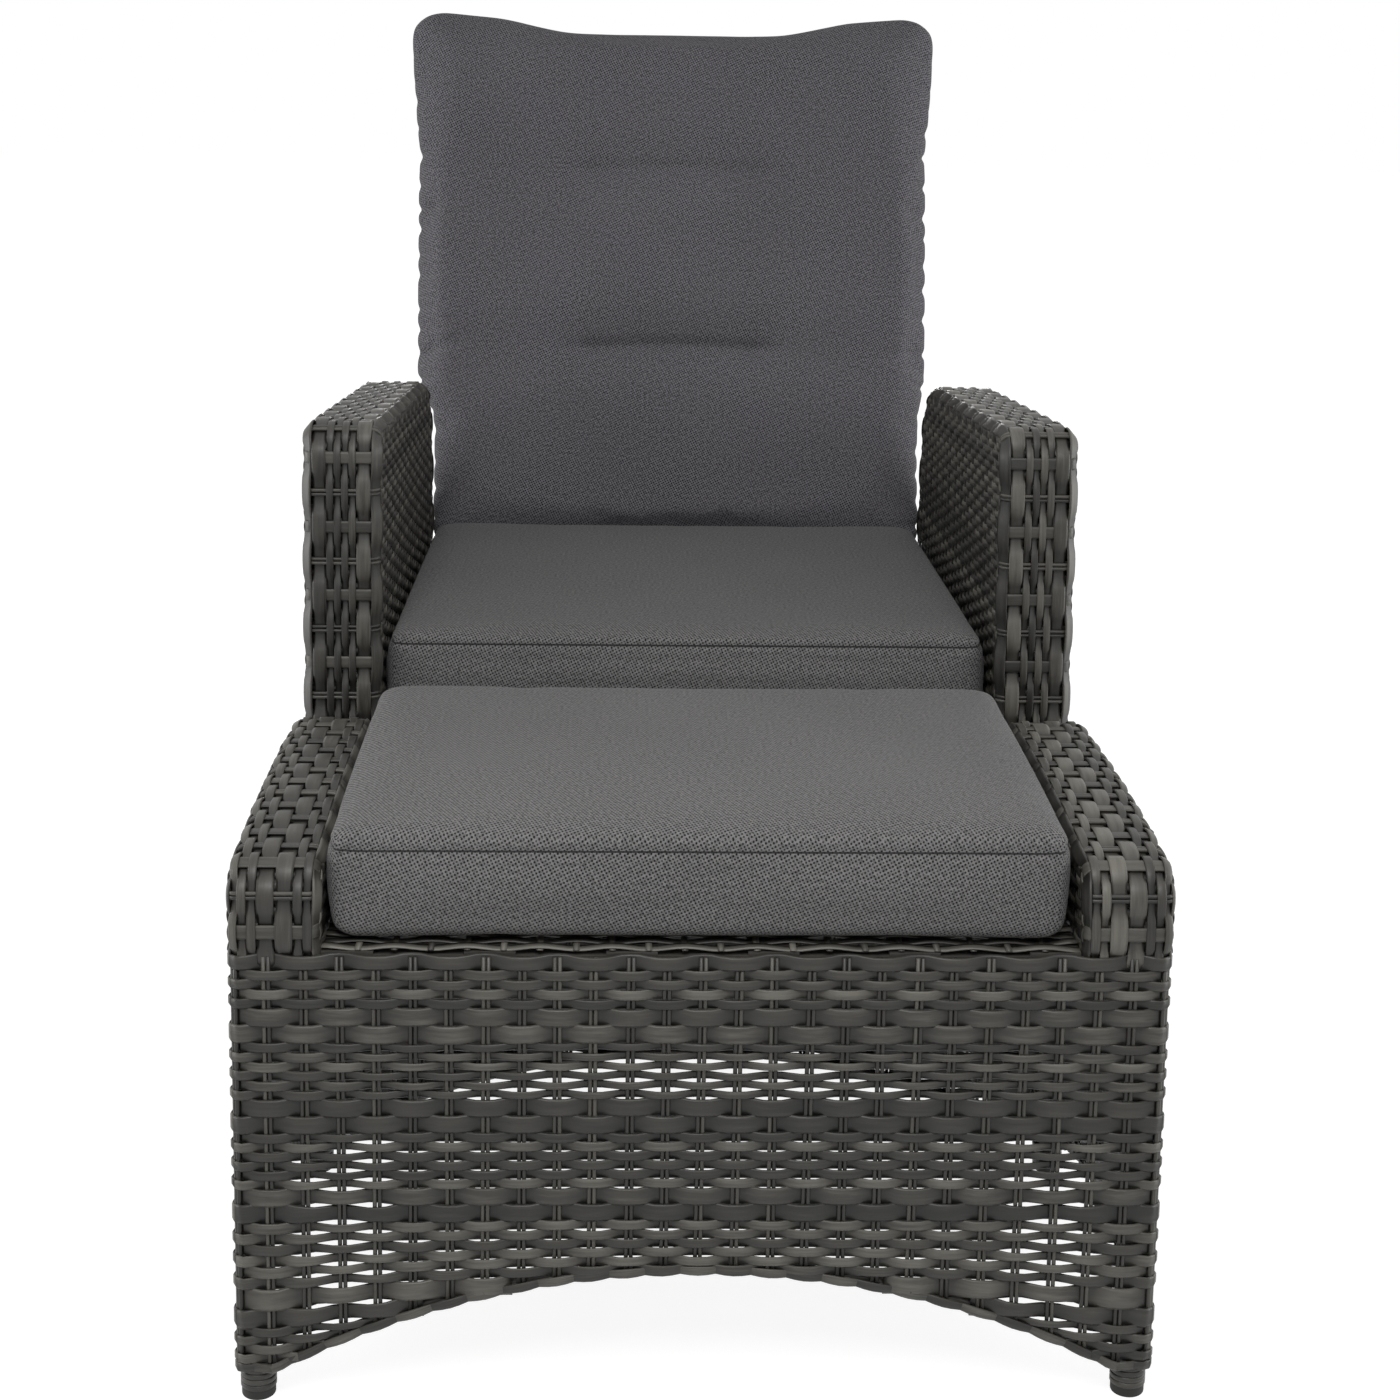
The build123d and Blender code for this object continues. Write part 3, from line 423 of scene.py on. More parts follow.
class Band:
    """The strip of long strands over a side's front, top and rear. s runs along the outline, a across it:
    flat between the shoulders, then a quarter turn of radius SHOULDER at each edge."""

    def __init__(self, path, place, width):
        self.path, self.place, self.flat = path, place, width / 2 - SHOULDER
        self.s = lengths(path)
        self.length = self.s[-1]
        along = unit(np.gradient(path, axis=0))
        self.normal = stack(-along[:, 1], along[:, 0])
        self.edge = self.flat + SHOULDER * np.pi / 2

    def surface(self, s, a):
        """Point and normal at s and a. The band's ends go in behind the wall's top row by a smooth step."""
        point, normal = interpolated(s, self.s, self.path), unit(interpolated(s, self.s, self.normal))
        theta = np.maximum(np.abs(a) - self.flat, 0) / SHOULDER
        off = np.sign(a) * (np.minimum(np.abs(a), self.flat) + SHOULDER * np.sin(theta))
        tuck = BAND_TUCK * smooth_step(1 - np.minimum(s, self.length - s) / BAND_TUCK_LENGTH)
        point = point - normal * (SHOULDER * (1 - np.cos(theta)) + tuck)[:, None]
        return self.place(point, off, normal * np.cos(theta)[:, None], np.sign(a) * np.sin(theta))

    def cross(self, bundle, s, points, depth, size, *more):
        """One strand straight across the band."""
        point, normal = self.surface(np.full(points, s), np.linspace(-self.edge, self.edge, points))
        bundle.strand(point - normal * depth, normal, *size, *more)

    def weave(self, bundle, widths, pitch, flat_stakes=True):
        """Long strands, laid side by side from the outer edge to the inner one, over and under cross stakes,
        which are in turn a pair of rods and a flat pair."""
        centres = sum(widths) / 2 - np.cumsum(widths) + np.array(widths) / 2
        count = max(2, round(self.length / pitch))
        pitch = self.length / count
        s = np.linspace(0, self.length, 5 * count + 1)
        for i, (centre, width) in enumerate(zip(centres, widths)):
            wave = swing(np.cos(np.pi * s / pitch + np.pi * i))
            point, normal = self.surface(s, np.full(len(s), centre))
            calm = EDGE_CALM if i in (0, len(widths) - 1) else 1.0
            lift = calm * BAND_WAVE * wave - CORE_DEPTH + EDGE_LIFT * (1 - calm)
            shown = width * 0.95 * (0.90 + 0.14 * (1 + wave) / 2)
            # painted shade: each long strand is darker where it dives under the cross stakes
            bundle.strand(point + normal * lift[:, None], normal, shown, BAND_THICK, 8, (1 + wave) / 2)
        # painted shade: the cross stakes lie under the long strands and take a shade of 0.5 (flat) and 0.45 (rods)
        for j in range(1, count):
            if flat_stakes and j % 2:
                self.cross(bundle, j * pitch, 26, CORE_DEPTH - 0.0004, FLAT_STAKE, 8, 0.5)
                continue
            for side in (-0.5, 0.5):
                place = j * pitch + side * STAKE_GAP
                self.cross(bundle, place, 26, CORE_DEPTH - 0.0003, (BAND_STAKE, BAND_STAKE), 6, 0.45)

    def shade_underlay(self, bundle):
        """Flat strips laid across under the band, side by side, at the underlay depth below its surface. Their
        shade of 0.1 makes them nearly black: painted shade seen through the band's gaps.
        """
        count = round(self.length / UNDERLAY_PITCH)
        for s in (np.arange(count) + 0.5) * self.length / count:
            self.cross(bundle, s, 14, UNDERLAY_DEPTH, UNDERLAY_STRIP, 4, 0.1, 1.0)


def trimmed(path, front_low, rear_low):
    """The part of an outline above a height at its front and above another at its rear."""
    low = np.where(np.arange(len(path)) <= path[:, 1].argmax(), front_low, rear_low)
    return path[path[:, 1] >= low]


# Materials


def group(name, inputs, outputs):
    """An empty node group: inputs are labels with a number, or None for a vector, and outputs are numbers."""
    tree = bpy.data.node_groups.new(name, "ShaderNodeTree")
    for label, value in inputs.items():
        kind = "NodeSocketVector" if value is None else "NodeSocketFloat"
        socket = tree.interface.new_socket(name=label, in_out="INPUT", socket_type=kind)
        if value is not None:
            socket.default_value = value
    for label in outputs:
        tree.interface.new_socket(name=label, in_out="OUTPUT", socket_type="NodeSocketFloat")
    return tree, tree.nodes.new("NodeGroupInput").outputs, tree.nodes.new("NodeGroupOutput").inputs


def node(tree, kind, links=(), **settings):
    """Adds a node, makes its settings, and gives each input its value or the socket that feeds it."""
    made = assigned(tree.nodes.new(kind), **settings)
    for key, source in dict(links).items():
        if hasattr(source, "is_output"):
            tree.links.new(source, made.inputs[key])
        else:
            made.inputs[key].default_value = source
    return made


def ramp(tree, source, *stops):
    """A colour ramp with stops given as (position, colour)."""
    made = node(tree, "ShaderNodeValToRGB", {"Fac": source})
    while len(made.color_ramp.elements) < len(stops):
        made.color_ramp.elements.new(0.5)
    for element, (place, colour) in zip(made.color_ramp.elements, stops):
        element.position = place
        element.color = (*colour, 1)
    return made.outputs["Color"]


def math(tree, operation, a, b=0.0):
    return node(tree, "ShaderNodeMath", {0: a, 1: b}, operation=operation).outputs[0]


def times(tree, a, b):
    return math(tree, "MULTIPLY", a, b)


def plus(tree, a, b):
    return math(tree, "ADD", a, b)


def vector_math(tree, operation, links, output=0):
    return node(tree, "ShaderNodeVectorMath", links, operation=operation).outputs[output]


def noise(tree, vector, scale, detail, output="Fac", **more):
    links = {"Vector": vector, "Scale": scale, "Detail": detail}
    return node(tree, "ShaderNodeTexNoise", links | more).outputs[output]


def here(tree):
    return node(tree, "ShaderNodeTexCoord").outputs["Object"]


def stored(tree, name):
    """A value that the mesh keeps at each vertex."""
    return node(tree, "ShaderNodeAttribute", attribute_name=name).outputs["Fac"]


def blend(tree, mask, below, above):
    """The second colour over the first by the mask."""
    return node(tree, "ShaderNodeMix", {0: mask, 6: below, 7: (*above, 1)}, data_type="RGBA").outputs[2]


def use(tree, what, **links):
    return node(tree, "ShaderNodeGroup", links, node_tree=what).outputs


def streak_group():
    """Fine grooves along a moulded strand, from noise stretched along its map."""
    tree, given, out = group("strand_grain", {"Map": None, "Tone": 0.5, "Depth": 1.0}, ["Shade", "Height"])
    stretch = node(tree, "ShaderNodeMapping", {"Vector": given["Map"], "Scale": (14, 9, 1)})
    offset = node(tree, "ShaderNodeCombineXYZ", {"Z": times(tree, given["Tone"], 37.0)})
    place = vector_math(tree, "ADD", {0: stretch.outputs[0], 1: offset.outputs[0]})
    fine = noise(tree, place, 1.6, 3.0, Roughness=0.6)
    slow = noise(tree, place, 0.25, 1.0)
    tree.links.new(plus(tree, times(tree, fine, 0.65), times(tree, slow, 0.35)), out["Shade"])
    tree.links.new(times(tree, fine, given["Depth"]), out["Height"])
    return tree


def dust_group():
    """A light settling of dust on faces that look up, broken by noise."""
    tree, given, out = group("settled_dust", {"Amount": 0.2}, ["Mask"])
    normal = node(tree, "ShaderNodeNewGeometry").outputs["Normal"]
    up = node(tree, "ShaderNodeSeparateXYZ", {0: normal}).outputs["Z"]
    mask = times(tree, math(tree, "MAXIMUM", up), noise(tree, here(tree), 18.0, 4.0))
    tree.links.new(times(tree, mask, given["Amount"]), out["Mask"])
    return tree


def cloth_group():
    """Coarse basket weave on the piece's own map: the product of two cosine waves at right angles, one Yarn
    long, turned and bent by noise, is a hole where it is high. Finer noise gives the flecks."""
    tree, given, out = group("basket_cloth", {"Map": None, "Yarn": 0.0024}, ["Height", "Fleck"])
    per = math(tree, "DIVIDE", 2 * np.pi, given["Yarn"])
    turned = node(tree, "ShaderNodeMapping", {"Vector": given["Map"], "Rotation": (0, 0, 0.32)}).outputs[0]
    bend = noise(tree, given["Map"], 90.0, 1.0, "Color")
    shifted = vector_math(tree, "SCALE", {0: bend, "Scale": 0.0011})
    moved = vector_math(tree, "ADD", {0: turned, 1: shifted})
    split = node(tree, "ShaderNodeSeparateXYZ", {0: moved}).outputs
    waves = [math(tree, "COSINE", times(tree, split[axis], per)) for axis in "XY"]
    limits = {"Value": times(tree, *waves), "From Min": -0.05, "From Max": 0.60}
    hole = node(tree, "ShaderNodeMapRange", limits, interpolation_type="SMOOTHSTEP").outputs[0]
    tree.links.new(math(tree, "SUBTRACT", 1.0, hole), out["Height"])
    tree.links.new(noise(tree, given["Map"], 360.0, 2.0), out["Fleck"])
    return tree


STREAKS, DUST, CLOTH = streak_group(), dust_group(), cloth_group()


def material(name, **values):
    """A material with a Principled shader, whose inputs take the given values."""
    made = bpy.data.materials.new(name)
    made.use_nodes = True
    shader = made.node_tree.nodes["Principled BSDF"]
    for key, value in values.items():
        shader.inputs[key.replace("_", " ")].default_value = value
    return made, made.node_tree, shader.inputs


def bumped(tree, shader, height, strength, distance):
    bump = node(tree, "ShaderNodeBump", {"Strength": strength, "Distance": distance, "Height": height})
    tree.links.new(bump.outputs["Normal"], shader["Normal"])


def strand_material():
    """Moulded polyethylene: dark brown-grey that differs from strand to strand, grooved along the strand, and
    darkened by painted shade where its shade value is low, where it dives between others."""
    made, tree, shader = material("woven_strand", Specular_IOR_Level=0.45)
    uv = node(tree, "ShaderNodeUVMap", uv_map="strand").outputs["UV"]
    tone = stored(tree, "tone")
    grain = use(tree, STREAKS, Map=uv, Tone=tone, Depth=1.0)
    mixed = plus(tree, times(tree, grain["Shade"], 0.66), times(tree, tone, 0.34))
    stops = (0.30, (0.010, 0.0095, 0.008)), (0.50, (0.043, 0.041, 0.035)), (0.72, (0.148, 0.141, 0.119))
    # painted shade: the colour falls to 0.22 of itself where the strand dives between others
    painted_dip_shade = plus(tree, times(tree, stored(tree, "shade"), 0.78), 0.22)
    deep = vector_math(tree, "SCALE", {0: ramp(tree, mixed, *stops), "Scale": painted_dip_shade})
    colour = blend(tree, use(tree, DUST, Amount=0.18)["Mask"], deep, (0.17, 0.16, 0.135))
    tree.links.new(colour, shader["Base Color"])
    tree.links.new(plus(tree, times(tree, grain["Shade"], 0.25), 0.34), shader["Roughness"])
    bumped(tree, shader, grain["Height"], 0.5, 0.0005)
    return made


def cloth_material(name, low, mid, high, sewn=False):
    """Coarse charcoal cloth: dark gaps between pale crowns of yarn, flecks and a soft sheen. A sewn cover is
    dark within SEAM_LINE of its seam."""
    made, tree, shader = material(
        name, Roughness=0.92, Specular_IOR_Level=0.2, Sheen_Weight=0.08, Sheen_Roughness=0.5
    )
    uv = node(tree, "ShaderNodeUVMap", uv_map="cloth").outputs["UV"]
    weave = use(tree, CLOTH, Map=uv, Yarn=YARN)
    slow = noise(tree, here(tree), 7.0, 3.0)
    flecks = math(tree, "SUBTRACT", times(tree, weave["Fleck"], 0.95), 0.28)
    mixed = plus(tree, times(tree, weave["Height"], 0.5), plus(tree, flecks, times(tree, slow, 0.1)))
    colour = ramp(tree, mixed, (0.22, low), (0.55, mid), (0.85, high))
    if sewn:
        near = math(tree, "LESS_THAN", math(tree, "ABSOLUTE", stored(tree, "seam")), SEAM_LINE)
        colour = blend(tree, times(tree, near, 0.85), colour, SEAM_COLOUR)
    tree.links.new(colour, shader["Base Color"])
    bumped(tree, shader, plus(tree, weave["Height"], times(tree, weave["Fleck"], 0.5)), 0.6, 0.0006)
    return made


def solid_material(name, colour, rough, metal, grain, spread):
    """Painted, plated or moulded finish with faint mottling and settled dust."""
    made, tree, shader = material(name, Metallic=metal)
    mottle = noise(tree, here(tree), grain, 4.0)
    dark, light = (tuple(c * (1 + sign * spread) for c in colour) for sign in (-1, 1))
    shade = ramp(tree, mottle, (0.3, dark), (0.7, light))
    dusty = blend(tree, use(tree, DUST, Amount=0.1)["Mask"], shade, (0.25, 0.24, 0.22))
    tree.links.new(dusty, shader["Base Color"])
    tree.links.new(plus(tree, times(tree, mottle, 0.2), rough - 0.1), shader["Roughness"])
    bumped(tree, shader, mottle, 0.15, 0.0004)
    return made


YARN = 0.0036
SEAM_LINE, SEAM_COLOUR = 0.0008, (0.012, 0.012, 0.013)
BACK_TONES = ((0.010, 0.0094, 0.0108), (0.112, 0.108, 0.119), (0.225, 0.218, 0.238))
SEAT_TONES = ((0.010, 0.0097, 0.0096), (0.112, 0.110, 0.110), (0.225, 0.221, 0.219))
WICKER = strand_material()
BACK_CLOTH = cloth_material("back_cloth", *BACK_TONES)
SEAT_CLOTH = cloth_material("seat_cloth", *SEAT_TONES, sewn=True)
PAINT = (0.0, 40, 0.25)
SOLIDS = {  # colour, roughness, metal, scale and spread of the mottling
    "frame_paint": ((0.050, 0.046, 0.041), 0.45, *PAINT),
    "glide_plastic": ((0.012, 0.012, 0.011), 0.75, 0.0, 80, 0.25),
    "hinge_steel": ((0.52, 0.52, 0.53), 0.35, 1.0, 120, 0.25),
    "piston_chrome": ((0.75, 0.75, 0.77), 0.14, 1.0, 200, 0.05),
    "spring_paint": ((0.025, 0.025, 0.027), 0.32, *PAINT),
    "lever_paint": ((0.045, 0.042, 0.038), 0.4, *PAINT),
    "grommet_rubber": ((0.02, 0.02, 0.02), 0.7, 0.0, 90, 0.25),
    "woven_ground": ((0.03, 0.028, 0.025), 0.6, *PAINT),
}
FINISHES = {name: solid_material(name, *values) for name, values in SOLIDS.items()}
FINISHES |= {"weave": FINISHES["woven_ground"], "cushion_fabric": SEAT_CLOTH}
for entry in frame["record"]["subparts"]:
    mesh = frame["nodes"][entry["node"]].data
    mesh.materials.clear()
    mesh.materials.append(FINISHES[entry["material_slot"]])


# Woven bodies


def side_place(sign):
    """Puts a band's outline point, sideways offset and normal into the model for one side."""

    def place(point, off, normal, sideways):
        middle = sign * (half_at(point[:, 1]) - SIDE_WIDTH / 2)
        full = stack(middle + sign * off, point[:, 0], point[:, 1])
        return full, unit(stack(sign * sideways + 0 * off, normal[:, 0], normal[:, 1]))

    return place


def side_rim(bundle, outline, sign, inwards, front_low, rear_low):
    """Two strands twisted round each other along a side's outline, RIM inside it, where the rows end."""
    path = trimmed(outline(RIM), front_low, rear_low)
    points = stack(sign * (half_at(path[:, 1]) - inwards), path[:, 0], path[:, 1])
    facing = sign if inwards == 0 else -sign
    normal = np.tile([float(facing), 0.0, 0.0], (len(path), 1))
    phase = 2 * np.pi * lengths(path) / STAKE_PITCH
    # painted shade: each twisted strand darkens to 0.4 where it dives under the other
    bundle.pair(phase, points, normal, WAVE * 0.6, CORE_DEPTH * 0.8, RIM_WIDTH, least=0.4)


def clad(body, ring, inner_low, walls, sides, fan):
    """Weaves a whole body: four walls, the inner walls of its sides, and the two bands over them."""
    wall_top, pitch = ring.front_top, ring.pitch
    high = ring.outline()[:, 1].max()
    upper = []
    z = wall_top
    while z < high:
        upper.append((z + NARROW_ROW / 2, NARROW))
        z += NARROW_ROW
    table = [(i + 1, r) for i, r in enumerate(row_table(wall_top, FOOT_EDGE))]
    table += [(-i, r) for i, r in enumerate(upper)]
    u = np.arange(-2 * ring.stakes, 2 * ring.stakes + 1) * pitch / 4

    def height(u, z0):
        """Rows sag towards the corners, and above the wall's top they fan out to follow the arm."""
        y = ring.surface(u, np.full(len(u), z0))[0][:, 1]
        spread = fan * (y - ring.front) / (ARM_HEIGHT - CHAIR_TOP)
        return z0 - ring.sag(u, z0) - spread * max(z0 - wall_top, 0)

    half = ring.length / 2
    corner = round((ring.marks[6] + CORNER) / pitch) * pitch
    back = round((half - corner) / pitch) * pitch
    windows = {
        "front": [(-corner, corner)],
        "left": [(corner, back)],
        "right": [(-back, -corner)],
        "rear": [(-half, -back), (back, half)],
    }
    stakes = (np.arange(ring.stakes) - ring.stakes // 2 + 1) * pitch
    for part, spans in windows.items():
        bundle = Bundle()
        for low, end in spans:
            mine = [s for s in stakes if low - TINY < s <= end + TINY]
            outer = (ring.surface, ring.inside)
            places = (mine, FOOT_EDGE, high, (low, end))
            weave_wall(bundle, outer, u, pitch, table, height, *places, loose=ring.looseness)
            hem = u[(u > low - TINY) & (u < end + TINY)]
            points, normal = ring.surface(hem, ring.bottom(hem) + HEM_RISE)
            # painted shade: the hem's strands darken fully where they dive under each other
            bundle.pair(np.pi * hem / pitch, points, normal, WAVE, CORE_DEPTH, HEM_WIDTH, HEM_SWELL)
        sideways = part in dict(BOTH)
        if sideways:
            side_rim(bundle, ring.outline, dict(BOTH)[part], 0.0, wall_top, ring.rear_top)
        bundle.build(f"{body}_{part}_wicker", body, (sides if sideways else walls).format(part))

    for part, sign in BOTH:
        bundle = Bundle()

        def inner(u, z):
            point, normal = ring.surface(u, z)
            return point - np.array([sign * SIDE_WIDTH, 0, 0]), normal * np.array([-1, 1, -1])

        def inner_inside(u, z, margin):
            return ring.inside(u, z, margin) & (z - margin > inner_low - 1e-4)

        window = sorted((sign * (ring.marks[7] - 1e-4), sign * (ring.marks[8] + 1e-4)))
        inner_rows = [(i, r) for i, r in table if r[0] > inner_low]
        mine = [s for s in stakes if window[0] < s < window[1]]
        places = (mine, inner_low, high, window)
        weave_wall(bundle, (inner, inner_inside), u, pitch, inner_rows, height, *places, 5)
        side_rim(bundle, ring.outline, sign, SIDE_WIDTH, wall_top, wall_top)
        bundle.build(f"{body}_{part}_inner_wicker", body)

        bundle = Bundle()
        path = trimmed(ring.outline(), wall_top - BAND_LAP, ring.rear_top - BAND_LAP)
        band = Band(path, side_place(sign), SIDE_WIDTH)
        band.weave(bundle, BAND_STRANDS[body], BAND_PITCH[body])
        band.shade_underlay(bundle)
        bundle.build(f"{body}_{part}_band", body)


clad(
    "stool",
    Ring(STOOL_FRONT, STOOL_REAR, 0.0, STOOL_SIDE_RISE, (STOOL_TOP, STOOL_TOP), stool_outline),
    STOOL_INNER_LOW,
    "stool_{}_weave",
    "stool_side_weave_{}",
    0.0,
)
chair_rear = CHAIR_FRONT + CHAIR_DEPTH
clad(
    "chair",
    Ring(CHAIR_FRONT, chair_rear, REAR_SLANT, CHAIR_SIDE_RISE, (CHAIR_TOP, REAR_TOP), arm_outline),
    CHAIR_INNER_LOW,
    "{}_apron_weave",
    "arm_weave_{}",
    np.tan(ARM_SLOPE),
)


def leg_wraps(body):
    """Four turns of strand round each leg just under the weave: circles about the leg's line."""
    bundle = Bundle()
    t = np.linspace(0, 2 * np.pi, 33)
    normal = stack(np.cos(t), np.sin(t), 0 * t)
    for end in ("front", "rear"):
        lean = -REAR_SLANT if (body, end) == ("chair", "rear") else 0.0
        for side, sign in BOTH:
            low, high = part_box(f"{body}_glide_{end}_{side}")
            middle = (low + high) / 2
            for z in LEG_WRAP_HEIGHTS:
                over = z - GLIDE_MIDDLE
                centre = np.array([middle.x - sign * np.tan(SPLAY) * over, middle.y + np.tan(lean) * over, z])
                # painted shade: the wraps, in the shade under the woven body, take a shade of 0.3
                bundle.strand(centre + LEG_WRAP_RADIUS * normal, normal, *LEG_WRAP, 6, 0.3, 0.8)
    bundle.build(f"{body}_leg_wraps", body)


leg_wraps("stool")
leg_wraps("chair")


def flat_deck(name, body, node_name):
    """Woven deck: broad strands across over and under pairs of stakes, in the deck's own thickness."""
    low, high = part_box(node_name)
    bundle = Bundle()
    pitch = (high.x - low.x) / DECK_COLUMNS
    u = low.x + np.arange(4 * DECK_COLUMNS + 1) * pitch / 4
    level = high.z - CORE_DEPTH - 0.0004

    def flat(x, y):
        return stack(x, y, np.full(len(x), level)), np.tile([0.0, 0.0, 1.0], (len(x), 1))

    count = int((high.y - low.y) / DECK_ROW)
    for i, y in enumerate(low.y + (np.arange(count) + 0.5) * (high.y - low.y) / count):
        wave = np.cos(np.pi * (u - low.x) / pitch + np.pi * i)
        point, normal = flat(u, np.full(len(u), y))
        bundle.strand(point + normal * (DECK_THICK * wave)[:, None], normal, DECK_STRAND, DECK_THICK, 5)
    for x in low.x + np.arange(1, DECK_COLUMNS) * pitch:
        point, normal = flat(np.full(12, x), np.linspace(low.y, high.y, 12))
        bundle.strand(point, normal, DECK_STAKE, DECK_THICK, 5)
    bundle.build(name, body, node_name)


flat_deck("stool_deck_wicker", "stool", "stool_deck_weave")
flat_deck("seat_deck_wicker", "chair", "seat_deck_weave")


# Woven back, worked out in its own frame: origin at the hinge, Y rearwards, Z up along the back

BACK_HALF = 0.2693
BACK_LOW, BACK_HIGH = 0.0153, 0.6383
BACK_FRONT, BACK_REAR = 0.0087, 0.0443
BACK_CORNER = 0.076
BACK_STAKES = 20
BACK_INSET = 0.006  # from the back's outline to the ends of its rows
BACK_MARGIN = 0.008
BACK_EDGE = (0.006, 0.0024)  # lower edge strand
BACK_EDGE_WAVE, BACK_EDGE_IN = 0.0018, 0.002


def on_back(points):
    """Turns points of the back's own frame by its lean."""
    c, s = np.cos(BACK_LEAN), np.sin(BACK_LEAN)
    return points @ np.array([[1, 0, 0], [0, c, s], [0, -s, c]]).T


def back_point(points):
    return on_back(points) + HINGE


def back_half(z):
    """Half width of the back's rows at a height: straight, then the quarter circle of its top corner."""
    radius = BACK_CORNER - BACK_INSET
    over = np.clip(z - (BACK_HIGH - BACK_CORNER), 0, radius)
    return BACK_HALF - BACK_INSET - radius + np.sqrt(np.maximum(radius**2 - over**2, 0))


def woven_back():
    """The back's two woven faces, the band round its edge and the twisted strands along its lower edge."""
    pitch = 2 * (BACK_HALF - BACK_MARGIN) / BACK_STAKES
    u = np.arange(-2 * BACK_STAKES, 2 * BACK_STAKES + 1) * pitch / 4
    count = int((BACK_HIGH - BACK_LOW - 2 * BACK_MARGIN) / NARROW_ROW)
    rows = [(i, (BACK_LOW + BACK_MARGIN + (i + 0.5) * NARROW_ROW, NARROW)) for i in range(count)]
    broad = [(i, (z, WIDE)) for i, (z, _) in rows[::2]]

    def inside(u, z, margin):
        return (np.abs(u) < back_half(z)) & (z + margin < BACK_HIGH - BACK_INSET) & (z - margin > BACK_LOW)

    def level_rows(u, z0):
        return np.full(len(u), z0)

    stakes = np.arange(1 - BACK_STAKES // 2, BACK_STAKES // 2) * pitch
    for part, level, facing, table, nodes in (
        ("rear", BACK_REAR, 1.0, rows, ["back_weave"]),
        ("front", BACK_FRONT, -1.0, broad, []),
    ):
        bundle = Bundle()

        def surface(u, z):
            point = stack(u, np.full(len(u), level), z + 0 * u)
            return back_point(point), on_back(np.tile([0.0, facing, 0.0], (len(u), 1)))

        weave_wall(bundle, (surface, inside), u, pitch, table, level_rows, stakes, BACK_LOW, BACK_HIGH)
        bundle.build(f"back_{part}_wicker", "back", *nodes)

    corners = [(-BACK_HALF, BACK_LOW), (-BACK_HALF, BACK_HIGH), (BACK_HALF, BACK_HIGH), (BACK_HALF, BACK_LOW)]
    path = rounded_path(corners, [BACK_CORNER, BACK_CORNER])
    middle = (BACK_FRONT + BACK_REAR) / 2

    def place(point, off, normal, sideways):
        full = stack(point[:, 0], middle - off, point[:, 1])
        return back_point(full), unit(on_back(stack(normal[:, 0], -sideways + 0 * off, normal[:, 1])))

    bundle = Bundle()
    band = Band(path, place, BACK_REAR - BACK_FRONT)
    band.weave(bundle, BAND_STRANDS["back"], BAND_PITCH["back"], False)
    x = np.linspace(-BACK_HALF + 0.004, BACK_HALF - 0.004, 120)
    for turn in (0, np.pi):
        wave = BACK_EDGE_WAVE * np.cos(np.pi * x / pitch + turn)
        for level in (BACK_REAR - BACK_EDGE_IN, BACK_FRONT + BACK_EDGE_IN):
            point = stack(x, level + wave, np.full(len(x), BACK_LOW + BACK_EDGE_IN))
            bundle.strand(back_point(point), on_back(np.tile([0.0, 1.0, 0.0], (len(x), 1))), *BACK_EDGE)
    bundle.build("back_band", "back")


woven_back()


# Cushions


def read(items, label, width=1, kind=np.float32):
    """One attribute of all the items of a mesh, as an array."""
    values = np.empty(len(items) * width, kind)
    items.foreach_get(label, values)
    return values.reshape(-1, width) if width > 1 else values


def coords_of(obj):
    return read(obj.data.vertices, "co", 3).astype(float)


def set_coords(obj, points):
    filled(obj.data.vertices, "co", points)
    obj.data.update()


def rounded_box(name, size, radius, rim, around=160):
    """Box with rounded upright edges and rounded rims: rings of a rounded rectangle stacked in Z, drawn in at
    the bottom and top by a quarter circle of the rim's radius, in one closed mesh."""
    w, d, h = size
    t = np.linspace(0, 2 * np.pi, around, endpoint=False)

    def ring(inset, z):
        r = max(radius - inset, 0.004)
        cx = np.clip(np.cos(t) * 3, -1, 1) * (w / 2 - inset - r)
        cy = np.clip(np.sin(t) * 3, -1, 1) * (d / 2 - inset - r)
        return stack(cx + r * np.cos(t), cy + r * np.sin(t), np.full(around, z))

    steps = np.linspace(0, np.pi / 2, 6)
    rings = [ring(rim * (1 - np.sin(a)), rim * (1 - np.cos(a))) for a in steps]
    rings += [ring(0, z) for z in np.linspace(rim, h - rim, 8)[1:-1]]
    rings += [ring(rim * (1 - np.cos(a)), h - rim + rim * np.sin(a)) for a in steps]
    index = np.arange(len(rings) * around).reshape(-1, around)
    faces = tube_faces(index).tolist() + [index[0][::-1].tolist(), index[-1].tolist()]
    mesh = bpy.data.meshes.new(name)
    mesh.from_pydata(np.concatenate(rings).tolist(), [], faces)
    return added(name, mesh)


def applied(obj):
    """Keeps in the mesh what the object's modifiers make of it."""
    bpy.context.view_layer.update()
    mesh = bpy.data.meshes.new_from_object(obj.evaluated_get(bpy.context.evaluated_depsgraph_get()))
    obj.modifiers.clear()
    obj.data = mesh


def inflate(obj, pressure, cap, stiff, bend):
    """Lets the cover swell as cloth under pressure with no gravity, moves no point further than the cap,
    and keeps the result in the mesh."""
    rest = coords_of(obj)
    settings = assigned(
        obj.modifiers.new("stuffing", "CLOTH").settings,
        quality=6,
        mass=0.3,
        tension_stiffness=stiff,
        compression_stiffness=stiff,
        shear_stiffness=stiff / 2,
        bending_stiffness=bend,
        use_pressure=True,
        uniform_pressure_force=pressure,
    )
    settings.effector_weights.gravity = 0
    scene = bpy.context.scene
    for step in range(1, SWELL_FRAMES + 1):
        scene.frame_set(step)
    swollen = obj.evaluated_get(bpy.context.evaluated_depsgraph_get()).to_mesh()
    moved = read(swollen.vertices, "co", 3) - rest
    obj.modifiers.clear()
    far = np.linalg.norm(moved, axis=1, keepdims=True)
    set_coords(obj, rest + moved * np.minimum(1, cap / np.maximum(far, 1e-9)))
    scene.frame_set(1)


